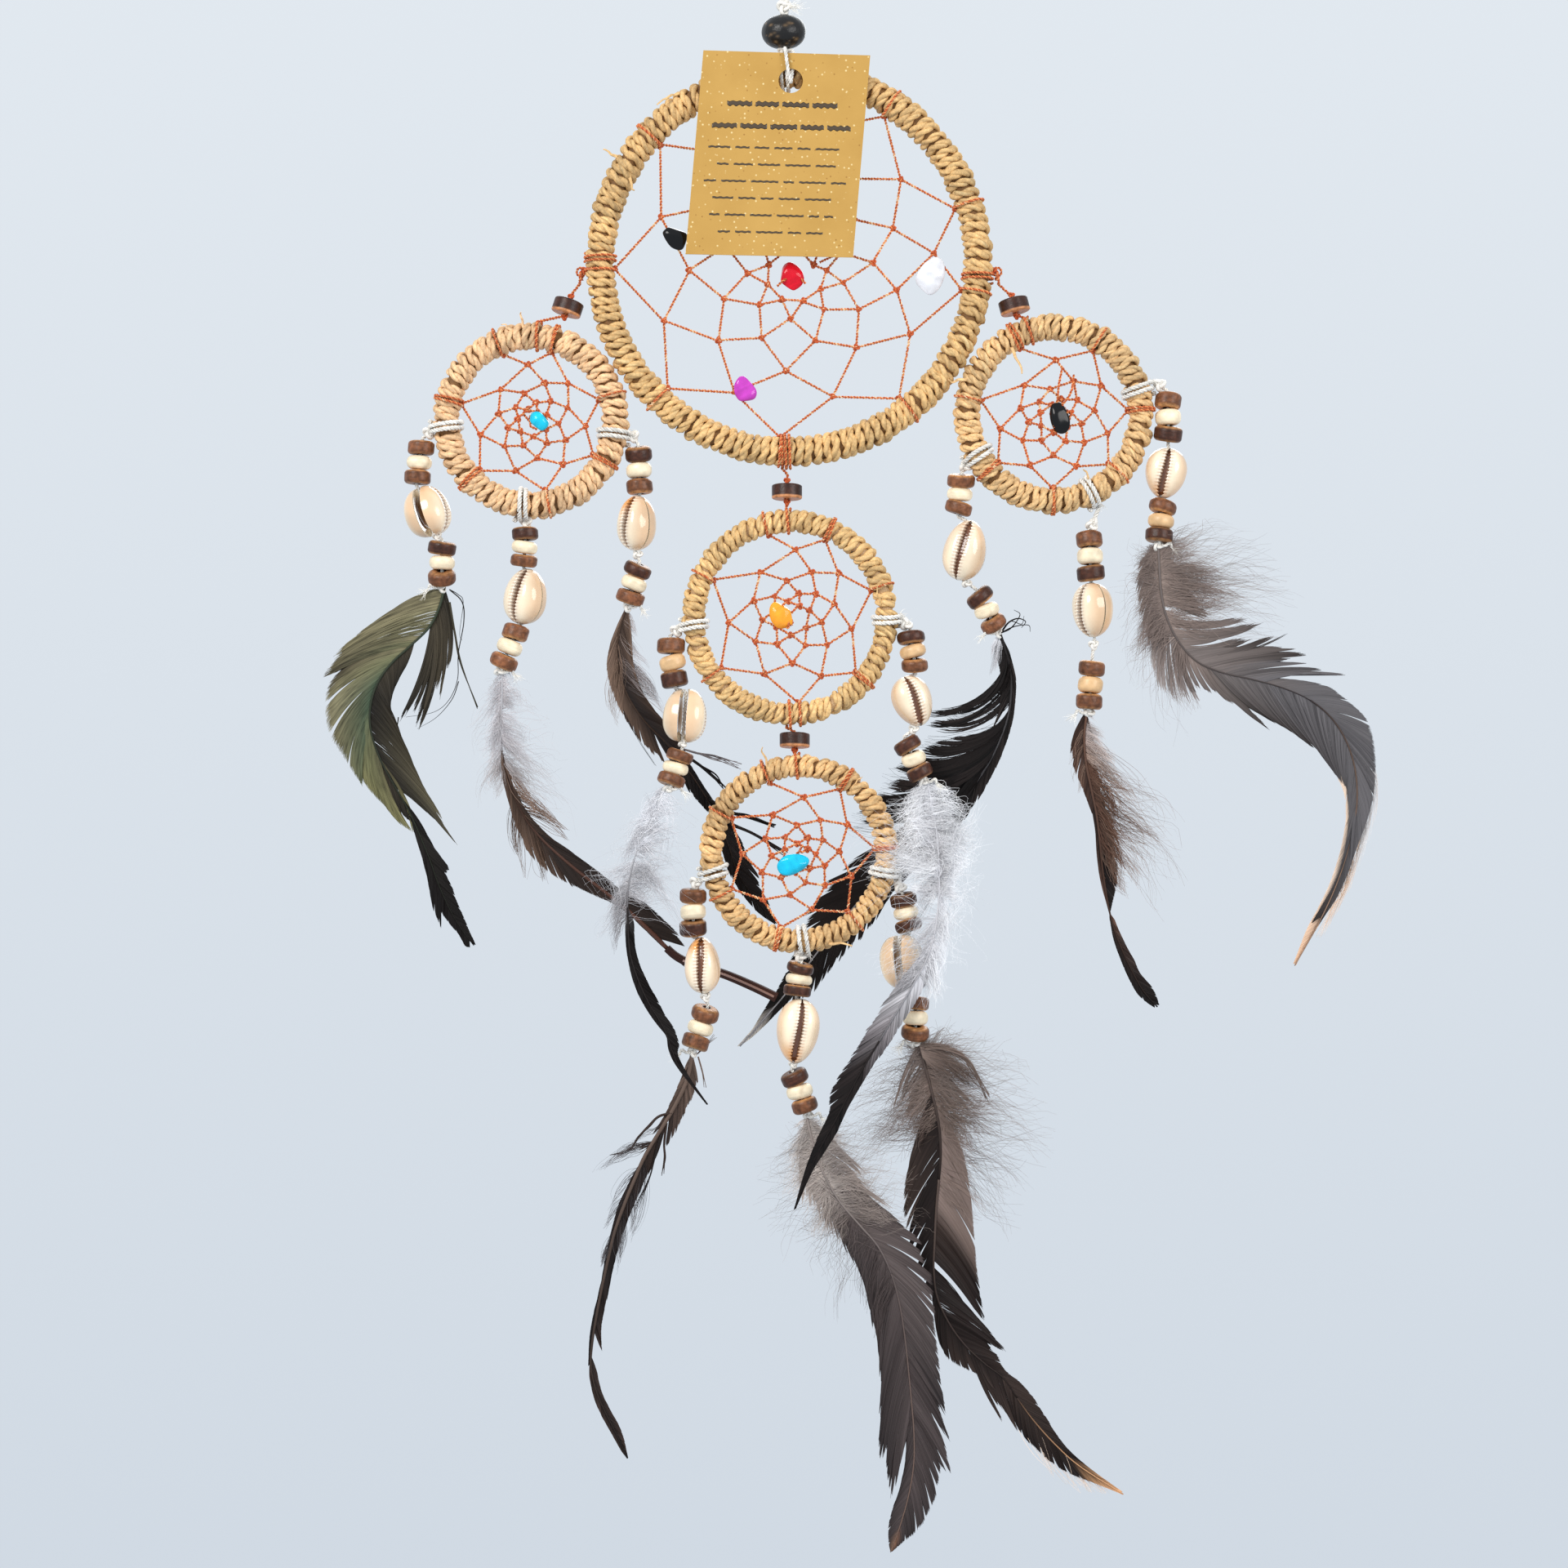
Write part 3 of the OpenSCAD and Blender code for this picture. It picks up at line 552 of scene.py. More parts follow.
TITLE_1 = (0.17, 0.32), (0.34, 0.48), (0.5, 0.66), (0.68, 0.83)
TITLE_2 = (0.09, 0.24), (0.26, 0.42), (0.44, 0.6), (0.62, 0.76), (0.78, 0.92)
for v, cuts in ((0.255, TITLE_1), (0.365, TITLE_2)):
    for u0, u1 in cuts:
        bar(u0, u1, v, 1.0)
for i, (u0, u1) in enumerate(((0.08, 0.94), (0.14, 0.86), (0.07, 0.92), (0.13, 0.86), (0.12, 0.86),
                              (0.18, 0.82))):
    v = 0.47 + 0.083 * i
    u = u0
    while u < u1 - 0.05:
        w = min(rng.uniform(0.06, 0.17), u1 - u)
        bar(u, u + w, v, 0.42)
        u += w + 0.03
mesh_object("card_print", prints, M_PRINT, "tag")


# ---------------------------------------------------------------- windings


def winding(hoop):
    """Two-ply grass cord wound round a hoop, turn by turn, over a ring painted dark as the shade that shows
    between the turns.
    """
    centre, R, tube, _, _, _, turns = HOOPS[hoop]
    centre = at(centre)
    # a cord a little thicker than the room that each turn has
    cord_r = min(1.9, 2 * math.pi * R / turns / 2 * 1.08)
    ply_r, offset = cord_r * 0.62, cord_r * 0.40
    reach = tube - cord_r + 0.55
    per = int(2 * math.pi * reach / 0.85)
    n = turns * per + 1
    i = np.arange(n)
    t = i / (n - 1)

    def by_turn(mean, size):
        """A random value for each turn, with the changes spread along the cord."""
        return np.interp(i / per, np.arange(turns + 1), rng.normal(mean, size, turns + 1))

    slip, lean, swell = by_turn(0, 0.5), by_turn(0.55, 0.45), by_turn(0, 0.17)
    b = 2 * np.pi * turns * t
    a = 2 * np.pi * t + (slip + lean * np.sin(b)) / R + rng.uniform(0, 6.28)
    out = np.stack([np.cos(a), 0 * a, np.sin(a)], 1)
    normal = np.cos(b)[:, None] * out + np.sin(b)[:, None] * FRONT
    p = centre + R * out + (reach + swell)[:, None] * normal
    tangent = unit(np.gradient(p, axis=0))
    side = unit(np.cross(tangent, normal))
    normal = np.cross(side, tangent)
    shape = Shape()
    # the plies' colour changes from turn to turn, with pale dry streaks and dark ones along them
    warm = wander(n, per * 3, 0.10)[:, 0] + by_turn(0, 0.06)
    sides, pitch = 9, 10.6
    s = travel(p)
    for k in range(2):
        turn = 2 * np.pi * s / pitch + np.pi * k + wander(n, 40, 0.5)[:, 0]
        r = ply_r * (1 + wander(n, 14, 0.09)[:, 0])
        c, d = np.cos(turn)[:, None], np.sin(turn)[:, None]
        streak = wander(n, 16, 0.13, sides) + wander(n, 5, 0.05, sides)
        tone = GRASS[hoop] * (1 + warm[:, None] + streak)[..., None]
        dry = np.clip(wander(n, 30, 0.7, sides) - 0.6, 0, 1)[..., None]
        tone = tone * (1 - 0.45 * dry) + srgb(235, 212, 160) * 0.45 * dry
        dark = np.clip(wander(n, 22, 0.7, sides) - 0.85, 0, 1)[..., None]
        tone = tone * (1 - 0.5 * dark) + srgb(140, 104, 62) * 0.5 * dark
        path = p + offset * (0.82 * c * normal + d * side)
        shape.tube(path, r, tone, sides, roll=turn, normals=(tangent, normal, side), rough=0.05)
    # what shows between the turns: a ring painted dark brown, painted shade in the crevices between the turns
    m, sides = 180, 16
    q = np.linspace(0, 2 * np.pi, m, endpoint=False)
    o = np.stack([np.cos(q), 0 * q, np.sin(q)], 1)
    w = np.linspace(0, 2 * np.pi, sides, endpoint=False)[None, :, None]
    ring = centre + R * o[:, None] + (tube - 1.9) * (np.cos(w) * o[:, None] + np.sin(w) * FRONT)
    row, col = np.arange(m)[:, None], np.arange(sides)[None]
    next_row, next_col = (row + 1) % m, (col + 1) % sides
    quads = [r * sides + c for r, c in ((row, col), (row, next_col), (next_row, next_col), (next_row, col))]
    shape.add(ring, srgb(120, 84, 44), np.stack(quads, -1).reshape(-1, 4))
    return shape


def stub(shape, start, direction, length, colour):
    """A stray end of grass that stands out of the winding."""
    r = 0.8
    d = unit(np.asarray(direction, float))
    pts = [np.asarray(start, float) + d * length * f + rng.normal(0, 0.3, 3) * f * 2
           for f in np.linspace(0, 1, 6)]
    p = spline(pts, 5)
    n = len(p)
    shape.tube(p, np.linspace(r, r * 0.35, n), np.asarray(colour) * (1 + wander(n, 6, 0.1, 7))[..., None],
               7, squash=0.45)


STUBS = {
    "main": [((-65, -110), (-1, -0.2, 0.4), 7), ((-60.6, -117), (0.3, -0.5, -1), 8),
             ((63.5, -195.8), (-1, -0.6, 0.2), 6), ((-41, -85), (-0.9, -0.4, -0.5), 10)],
    "left": [((-101.5, -177.4), (-0.25, -0.4, 1), 8), ((-106, -178), (-0.9, -0.3, 0.5), 5)],
    "right": [((89, -184.6), (0.33, -0.6, -0.95), 13), ((119.4, -236.6), (-0.4, -0.6, 0.8), 6),
              ((71.4, -197), (-1, -0.4, -0.15), 8)],
    "middle": [((38, -285), (-0.3, -0.6, 0.9), 8)],
    "bottom": [((-6.2, -349.0), (-0.3, -0.4, 1), 9), ((27, -356), (0.5, -0.5, 0.6), 6),
               ((17.6, -417.6), (0.9, -0.6, 0.0), 10)],
}
for name in HOOPS:
    shape = winding(name)
    for p, d, length in STUBS[name]:
        stub(shape, at(p, -3.5), d, length, GRASS[name] * 1.05)
    mesh_object(name + "_winding", shape, M_GRASS, name + "_hoop", [name + "_wrap"])


# ---------------------------------------------------------------- webs


def twine(shape, path, ply_r=0.31, offset=0.27, pitch=2.3, step=0.3, streak=0.1, fleck=None):
    """Two-ply web twine along path, one ply copper and one paler as a painted highlight on the twist."""
    shape.plies(path, 2, ply_r, offset, pitch, [COPPER, COPPER_PAINTED_HIGHLIGHT], step=step, streak=streak, fleck=fleck)


def web_knots(hoop):
    """The web's knots, their number in a row, and its eye.

    Each knot hangs on the middle of a stretch of the row before it and is pulled towards the eye.
    """
    centre, R, tube, angles, rows, offset, _ = HOOPS[hoop]
    centre = np.array(centre, float)
    eye = centre + np.array(offset)
    n = len(angles)
    turns = [math.radians(a) for a in angles]
    found = [centre + (R - tube - 0.7) * np.array([math.cos(t), math.sin(t)]) for t in turns]
    while len(found) < n * (rows + 1):
        j = len(found)
        middle = (found[j - n] + found[j - n + 1]) / 2
        found.append(eye + PULLS[j // n - 1] * (middle - eye))
    return found, n, eye


def web(hoop):
    """A hoop's web: twine from knot to knot, spiralling inwards, with a knot at each crossing."""
    v, n, eye = web_knots(hoop)
    total = len(v)
    shape = Shape()
    path = []
    for i in range(total):
        if i < n:
            path.extend(bound(hoop, HOOPS[hoop][3][i], 0.5, 1, -1.2, steps=16))
        else:
            path.append(at(v[i], -0.35))
        if i + n < total:
            path.append(at(v[i + n], 0.35) + rng.normal(0, 0.12, 3))
    twine(shape, path, step=0.4 if hoop == "main" else 0.3, streak=0.07, fleck=srgb(236, 196, 150))
    for i in range(n, total):
        size, tone = 1.05 + rng.uniform(-0.1, 0.2), COPPER * rng.uniform(0.85, 1.05)
        knot(shape, at(v[i], -0.1), size, 0.42, tone, (1, 0.8, 1), rng.uniform(0, 6.3))
    for i in range(n):
        outwards = 0.6 * unit(at(v[i]) - at(eye))
        knot(shape, at(v[i], -0.4) + outwards, 1.0, 0.42, COPPER * 0.9, (1, 0.9, 1), rng.uniform(0, 6.3))
        if rng.uniform() < 0.45:
            angle = HOOPS[hoop][3][i] + rng.uniform(-1.5, 1.5) * 60 / HOOPS[hoop][1]
            twine(shape, bound(hoop, angle, 0.45, 1, 1.2, steps=16), streak=0.07)
    return shape, eye


def tail(shape, start, end):
    """A loose end of web twine."""
    a, b = np.asarray(start, float), np.asarray(end, float)
    mid = (a + b) / 2 + rng.normal(0, 1.0, 3)
    twine(shape, spline([a, mid, b], 10), 0.3)


def chip(shape, centre, across, along, tilt, colour, depth=5.2):
    """A tumbled stone chip: a lumpy egg with a few worn flats."""
    nu, nv = 40, 24
    u = np.linspace(0, 2 * np.pi, nu, endpoint=False)[None, :]
    w = np.linspace(0.001, np.pi - 0.001, nv)[:, None]
    d = np.stack([np.sin(w) * np.cos(u), np.sin(w) * np.sin(u), np.cos(w) + 0 * u], -1)
    r = np.ones(d.shape[:2])
    for _ in range(9):
        n = unit(rng.normal(0, 1, 3))
        cut = rng.uniform(0.72, 0.95) / np.maximum(d @ n, 1e-3)
        r = -np.log(np.exp(-14 * r) + np.exp(-14 * np.minimum(cut, 3))) / 14
    p = d * r[..., None] * np.array([across * 0.56, depth * 0.5, along * 0.56])
    p[..., 0] *= 1 - 0.28 * p[..., 2] / along
    a = math.radians(tilt)
    x = p[..., 0] * math.cos(a) + p[..., 2] * math.sin(a)
    z = -p[..., 0] * math.sin(a) + p[..., 2] * math.cos(a)
    p = np.stack([x, p[..., 1], z], -1) + at(centre, -0.8)
    shade = 1 + wander(nv * nu, 60, 0.05)
    cap = np.arange(nu)
    shape.add(p, colour * shade, grid_faces(nv, nu, True), cap[None, ::-1], (nv - 1) * nu + cap[None])


BLACK = srgb(9, 9, 11)
# Stone chips: place, width, length, tilt and colour
CHIPS = {
    "main": [((-42.6, -141.1), 7.6, 10.5, -55, BLACK), ((2.6, -156.4), 8.8, 10.8, -24, srgb(205, 12, 36)),
             ((57.6, -156.2), 9.4, 14.5, 25, srgb(216, 217, 222)),
             ((-15.4, -200.6), 7.6, 10, -25, srgb(186, 62, 176))],
    "left": [((-96.0, -213.0), 6.4, 7.4, -40, srgb(24, 190, 222))],
    "right": [((107.8, -211.6), 6.8, 12, -14, BLACK)],
    "middle": [((-1, -289), 8.4, 10.5, -35, srgb(244, 160, 46))],
    "bottom": [((3.4, -386.6), 7.2, 12, 74, srgb(22, 186, 222))],
}
for name in HOOPS:
    shape, eye = web(name)
    e = at(eye, -0.3)
    for k in range(3):
        turn = rng.uniform(0, 6.28)
        reach = rng.uniform(4, 9 if name == "main" else 6)
        way = np.array([math.cos(turn), -0.25, math.sin(turn)])
        tail(shape, e + rng.normal(0, 1.0, 3) * (1, 0.2, 1), e + reach * way)
    if name == "main":
        tail(shape, (14, -1.2, -151), (22, -1.6, -147))
    if name == "right":
        tail(shape, (107, -1, -206), (109, -1.6, -192))
        tail(shape, (108, -1, -208), (113.5, -1.5, -195))
    mesh_object(name + "_webbing", shape, M_TWINE, name + "_hoop", [name + "_web"])
    stones = Shape()
    for c in CHIPS[name]:
        chip(stones, *c)
    node = name + ("_stones" if name == "main" else "_stone")
    mesh_object(name + "_chips", stones, M_STONE, name + "_hoop", [node])


# ---------------------------------------------------------------- beads

DARK, DARKER, RIM = srgb(122, 76, 49), srgb(72, 40, 27), srgb(222, 160, 102)
CREAM, BISCUIT = srgb(240, 222, 190), srgb(220, 180, 132)


def ringed(section):
    """The same outline with points added along its long straight runs."""
    gap = 0.55
    out = []
    for (r0, z0), (r1, z1) in zip(section, list(section[1:]) + [section[0]]):
        n = max(1, int(math.hypot(r1 - r0, z1 - z0) / gap))
        out += [(r0 + (r1 - r0) * k / n, z0 + (z1 - z0) * k / n) for k in range(n)]
    return out


BEAD_BORE = 1.25


def leaning(axis, size, share):
    """Nearly that axis."""
    return unit(np.asarray(axis) + rng.normal(0, size, 3) * share)


def coconut(shape, centre, axis, d, t):
    """A coconut bead about d across and t thick, dark with paler rims to its faces."""
    outer, height = d / 2 * rng.uniform(0.94, 1.02), t * rng.uniform(0.93, 1.0)
    section = ringed(round_section(BEAD_BORE, outer, height, min(t * 0.36, 1.9) * rng.uniform(0.75, 1.1)))
    k = len(section)
    dark = DARK * rng.uniform(0.8, 1.15) if rng.uniform() < 0.65 else DARKER
    rim = RIM * rng.uniform(0.6, 1.0)
    seg = 44
    c = np.empty((k, seg, 3))
    streak = 1 + wander(seg, 3, 0.14)[:, 0]
    top_rim, low_rim = rng.permutation([rng.uniform(0.7, 1.0), rng.uniform(0.1, 0.7)])
    for j, (r, z) in enumerate(section):
        face = np.clip((abs(z) / (t / 2) - 0.62) / 0.3, 0, 1) * (top_rim if z > 0 else low_rim)
        c[j] = dark * streak[:, None] * (1 - face) + rim * face
        # the bore and its lip are painted darkest: painted shade inside the hole
        if r < BEAD_BORE * 1.5:
            c[j] = DARKER * 0.6
    c *= (1 + wander(k * seg, 7, 0.10)).reshape(k, seg, 1)
    lathe(shape, section, centre, leaning(axis, 0.10, (1, 1.3, 0.3)), c, seg, 0.014, rng.uniform(0, 6))


def bone_bead(shape, centre, axis, d, t):
    """A pale bead about d across and t thick, with a faint line down one side."""
    outer, height = d / 2 * rng.uniform(0.94, 1.0), t * rng.uniform(0.95, 1.02)
    section = round_section(BEAD_BORE, outer, height, min(t * 0.44, 2.4))
    tone = CREAM if rng.uniform() < 0.72 else BISCUIT
    k, seg = len(section), 40
    c = tone * (1 + wander(k * seg, 40, 0.05)).reshape(k, seg, 1)
    away = np.arange(seg)[None] - rng.uniform(0, seg) - 0.3 * np.arange(k)[:, None]
    line = np.exp(-(away**2) / 1.6)[..., None]
    c = c * (1 - 0.28 * line) + srgb(150, 110, 70) * 0.28 * line
    for j, (r, z) in enumerate(section):
        # the bore and its lip are painted brown: painted shade inside the hole
        if r < BEAD_BORE * 1.5:
            c[j] = srgb(120, 90, 60)
    lathe(shape, section, centre, leaning(axis, 0.09, (1, 1, 0.3)), c, seg, 0.01, rng.uniform(0, 6))


def cowrie(shape, centre, axis, front, w, h, back, depth, wide_down):
    """Half a cowrie, w across and h long, with its toothed mouth in front and its cut back behind.

    x is across the shell, y its height, and q, uu and tt run from -1 to 1 across it and along it.
    """
    up, out = unit(np.asarray(axis, float)), unit(np.asarray(front, float))
    across = np.cross(up, out)
    nu, nv = 61, 92
    q = np.linspace(-1, 1, nu)
    uu = (np.sign(q) * np.abs(q) ** 1.55)[None, :]
    tt = np.sin(np.linspace(-1, 1, nv) * np.pi / 2 * 0.985)[:, None]
    flip = -1 if wide_down else 1
    e = tt * flip
    outline = np.sqrt(np.clip(1 - np.abs(tt) ** 2.15, 0.0008, 1)) * (1 + 0.13 * e - 0.05 * e * e)
    x = 0.5 * w * outline * uu
    dome = np.clip(1 - np.abs(uu) ** 2.5, 0, 1) ** 0.5
    y = depth * np.clip(1 - np.abs(tt) ** 2.3, 0.002, 1) ** 0.48 * dome * (1 + 0.06 * e)
    bend = 0.035 * w * np.sin(2.2 * tt + 0.4)
    dist = x - bend
    teeth = 0.5 + 0.5 * np.cos(tt * h / 2 / 1.28 * 2 * np.pi)
    gape = (0.95 + 0.75 * (1 - e) * 0.5 + 0.15 * np.cos(tt * 3)) * np.clip((1 - np.abs(tt) ** 5) * 1.4,
                                                            0.05, 1)
    edge = gape * (1.0 - 0.42 * teeth)
    inside = np.clip((edge - np.abs(dist)) / 0.34 + 0.5, 0, 1)
    lip = np.exp(-((np.abs(dist) - gape) ** 2) / 1.9)
    valley = 0.55 * np.exp(-(dist**2) / 5.5) * np.clip(1 - tt**6, 0, 1)
    grooves = 0.16 * (1 - teeth) * lip * (np.abs(dist) < gape + 1.6)
    y = y - valley - inside * min(2.6, depth * 0.4) - grooves

    def blend(under, over, share):
        """That share of over laid on under."""
        share = share[..., None]
        return under * (1 - share) + np.asarray(over) * share

    shell = srgb(238, 219, 190) * (1 + 0.05 * rng.normal())
    edge_mix = np.clip((np.abs(uu) - 0.55) / 0.4, 0, 1) * np.ones_like(x)
    c = blend(shell, srgb(208, 158, 110), 0.6 * edge_mix)
    c = blend(c, srgb(250, 240, 222), 0.75 * lip)
    line = (1 - teeth) * np.exp(-((np.abs(dist) - gape - 0.55) ** 2) / 0.7) * (np.abs(tt) < 0.9)
    c = blend(c, srgb(166, 112, 70), 0.6 * line)
    blush = rng.uniform(0, 1) ** 2 * np.exp(-((e + 0.75) ** 2) / 0.12 - (uu + 0.3) ** 2 / 0.5)
    c = blend(c, srgb(226, 150, 60), blush)
    # the mouth is painted dark brown: painted shade in the opening into the shell
    c = blend(c, srgb(128, 78, 46), inside)
    p = np.asarray(centre) + x[..., None] * across + (tt * h / 2 + 0 * x)[..., None] * up
    p = p + (y + back)[..., None] * out
    shape.add(p, c, grid_faces(nv, nu, False))
    # the cut back and its rim, with the hollow painted darker towards its deepest point as painted shade
    ring = np.concatenate([p[:, 0], p[::-1, -1]])
    m = len(ring)
    hub = ring.mean(0)
    inner = hub + (ring - hub) * 0.72
    bowl = hub + (ring - hub) * 0.5 + out * 1.8
    deepest = hub + (ring - hub) * 0.08 + out * 2.3
    rows = np.stack([ring, inner, bowl, deepest])
    tones = srgb(240, 226, 200), srgb(226, 200, 164), srgb(150, 104, 66), srgb(120, 80, 50)
    shape.add(rows, np.repeat(tones, m, axis=0), grid_faces(4, m, True), (3 * m + np.arange(m))[None])


# Which way each pair of shells faces, in degrees from the front
FACES = {
    "left_outer": 72, "left_bottom": -36, "left_inner": -46,
    "right_inner": -20, "right_bottom": -58, "right_outer": -12,
    "middle_left": 84, "middle_right": 10, "bottom_left": -10, "bottom_center": 4, "bottom_right": 76,
}
for name, (hoop, angle, knot_at, b1, b3, shell_at, w, h, tilt, b4, b6) in STRANDS.items():
    body, top_body = name + "_strand", hoop + "_hoop"
    dark, light, shells, cords, tie = Shape(), Shape(), Shape(), Shape(), Shape()
    for first, last in ((b1, b3), (b4, b6)):
        step = (np.array(last, float) - np.array(first, float)) / 2
        axis = unit(at(-step))
        t = np.linalg.norm(step) - 0.22
        for k in range(3):
            where = at(np.array(first) + k * step)
            if k == 1:
                bone_bead(light, where, axis, 10.4, t)
            else:
                coconut(dark, where, axis, 10.9, t)
    a = math.radians(tilt)
    axis = np.array([math.sin(a), 0, math.cos(a)])
    turn = math.radians(FACES[name])
    face = np.array([math.sin(turn), -math.cos(turn), 0])
    face = unit(face - (face @ axis) * axis)
    wide_down = rng.uniform() < 0.4
    gap = 1.7 if abs(FACES[name]) > 60 else 0.35
    cowrie(shells, at(shell_at), axis, face, w * 0.95, h, gap, 7.2, wide_down)
    cowrie(shells, at(shell_at), axis, -face, w * 0.93, h * 0.98, gap, 6.9, wide_down)
    mesh_object(name + "_dark_beads", dark, M_COCONUT, body, [name + "_beads"])
    mesh_object(name + "_pale_beads", light, M_BONE, body)
    mesh_object(name + "_cowries", shells, M_SHELL, body)

    def stack_end(p, q):
        """The outer end of three beads, beyond the last one's middle q; p is the first one's."""
        p, q = np.array(p, float), np.array(q, float)
        return q + (np.linalg.norm(q - p) / 4 + 0.6) * unit(q - p)

    shell_leg = 0.45 * h * np.array([-math.sin(a), -math.cos(a)])
    foot, lower, last = np.array(shell_at) + shell_leg, stack_end(b6, b4), stack_end(b4, b6)
    between = (1.3 * foot + lower) / 2.3
    room = max(0.9, min(np.linalg.norm(lower - foot) / 2 - 0.4, 1.7))
    head = np.array(shell_at) - shell_leg
    route = [knot_at, stack_end(b3, b1), stack_end(b1, b3), head, foot, between, lower, last]
    cords.plies([at(p) for p in route], 3, 0.4, 0.37, 4.0, THREAD_WHITES)
    knot(cords, at(knot_at, -0.2), 2.2, 0.82, WHITE, (1, 0.85, 0.9), rng.uniform(0, 6))
    knot(cords, at(between, -0.2), room * 1.05, 0.6, WHITE * 0.97, (1, 0.8, 1), rng.uniform(0, 6))
    knot(cords, at(last, -0.3) + (0, 0, -0.2), 1.9, 0.7, WHITE * 0.95, (1.2, 0.85, 0.8), rng.uniform(0, 6))
    side = 1 if rng.uniform() < 0.65 else -1
    curl = (0, -0.5, -0.2), (side * 2.4, -1.4, -0.8), (side * 4.4, -1.6, 0.4), (side * 5.2, -1.2, -1.4)
    curl = [at(last) + d for d in curl]
    cords.plies(spline(curl, 8), 3, 0.36, 0.34, 3.6, [WHITE, WHITE * 0.92], step=0.4)
    fray(cords, curl[-1], (side, -0.2, -0.8), 5, 26, WHITE, 0.3)
    fray(cords, at(knot_at, -1), (rng.uniform(-1, 1), -0.6, 0.4), 3, 10, WHITE, 0.35)
    mesh_object(name + "_cord", cords, M_NYLON, body, [name + "_thread"])

    wrap_path = bound(hoop, angle, 1.0, 2, rng.uniform(1.9, 2.6), 180) + wander(37, 6, 0.25, 3)
    tie.plies(np.vstack([wrap_path, at(knot_at)[None]]), 3, 0.52, 0.46, 4.6, THREAD_WHITES)
    end = hoop_point(hoop, angle + 3.5, HOOPS[hoop][1] + HOOPS[hoop][2] + 0.6)
    fray(tie, end, unit(end - at(HOOPS[hoop][0])) + (0, -0.4, 0.2), 3.4, 14, WHITE, 0.4)
    mesh_object(name + "_tie", tie, M_NYLON, top_body)


# ---------------------------------------------------------------- links

# Links between hoops: tilt of the bead, its place, tie angle on the lower hoop, further points of the twine
LINKS = {
    "left": (18, (-84.8, -168.5), 85, [(-83.4, -163.6)]),
    "right": (-14, (90.2, -168), 106.5, [(88.6, -163.6)]),
    "middle": (0, (1.2, -240.8), 91, [(1.4, -234)]),
    "bottom": (0, (4.2, -338.1), 91, []),
}
# the side eyelets are this far out from this x, the main hoop's middle
EYELET_MIDDLE, EYELET_REACH = 2, 81.5
for name, (tilt, disc, angle, above) in LINKS.items():
    a = math.radians(tilt)
    lean = np.array([math.sin(a), 0, math.cos(a)])
    shape, disc_shape = Shape(), Shape()
    side = -1 if name == "left" else 1
    path = list(bound(name, angle, 0.5, 1, 1.6, 180))
    path += [at(disc) - 3.4 * lean, at(disc) + 3.4 * lean] + [at(p) for p in above]
    if name in ("left", "right"):
        x = EYELET_MIDDLE + side * EYELET_REACH
        for k in range(11):
            t = math.radians(285 - 30 * k)
            path.append(np.array([x + side * 0.1 * (6.5 - k), 2.4 * math.cos(t), -157 + 2.4 * math.sin(t)]))
    else:
        upper, turns = ("main", 2) if name == "middle" else ("middle", 1)
        path.extend(bound(upper, -90.8, 1.0, turns, 1.6, 180))
    twine(shape, path, 0.34, 0.3, 2.4)
    knot(shape, at(disc) - 4.0 * lean, 1.1, 0.45, COPPER)
    if above:
        knot(shape, at(disc) + 4.4 * lean, 1.1, 0.45, COPPER)
    section = ringed(round_section(BEAD_BORE, 5.9, 5.6, 0.7))
    seg = 48
    c = np.empty((len(section), seg, 3))
    streak = 1 + wander(seg, 3, 0.16)[:, 0]
    for j, (r, z) in enumerate(section):
        rim = np.clip((-z / 2.8 - 0.6) / 0.12, 0, 1)
        c[j] = srgb(60, 32, 22) * streak[:, None] * (1 - rim) + srgb(206, 140, 92) * rim
    c *= (1 + wander(len(section) * seg, 9, 0.08)).reshape(len(section), seg, 1)
    lathe(disc_shape, section, at(disc), lean + np.array([0, 0.10, 0]), c, seg, 0.006)
    mesh_object(name + "_link_twine", shape, M_TWINE, name + "_hoop", [name + "_link"])
    mesh_object(name + "_link_bead", disc_shape, M_COCONUT, name + "_hoop")

hitches = Shape()
for side, angle in ((-1, -181.5), (1, -4.5)):
    x = EYELET_MIDDLE + side * EYELET_REACH
    t = np.linspace(0, 2 * np.pi, 30)
    ring = np.stack([x + 1.7 * np.cos(t), 0 * t, -154.6 + 1.7 * np.sin(t)], 1)
    twine(hitches, ring, 0.3)
    twine(hitches, bound("main", angle, 0.5, 2, 1.7, 180))
    knot(hitches, np.array([x - side * 1.5, -0.6, -154.0]), 1.3, 0.45, COPPER)
mesh_object("side_hitches", hitches, M_TWINE, "main_hoop")


# ---------------------------------------------------------------- feathers

# points of a shaft's curve from one route point to the next
PER = 12
# the farthest that down stands in front of its shaft or behind it
DOWN_DEPTH = 7.5


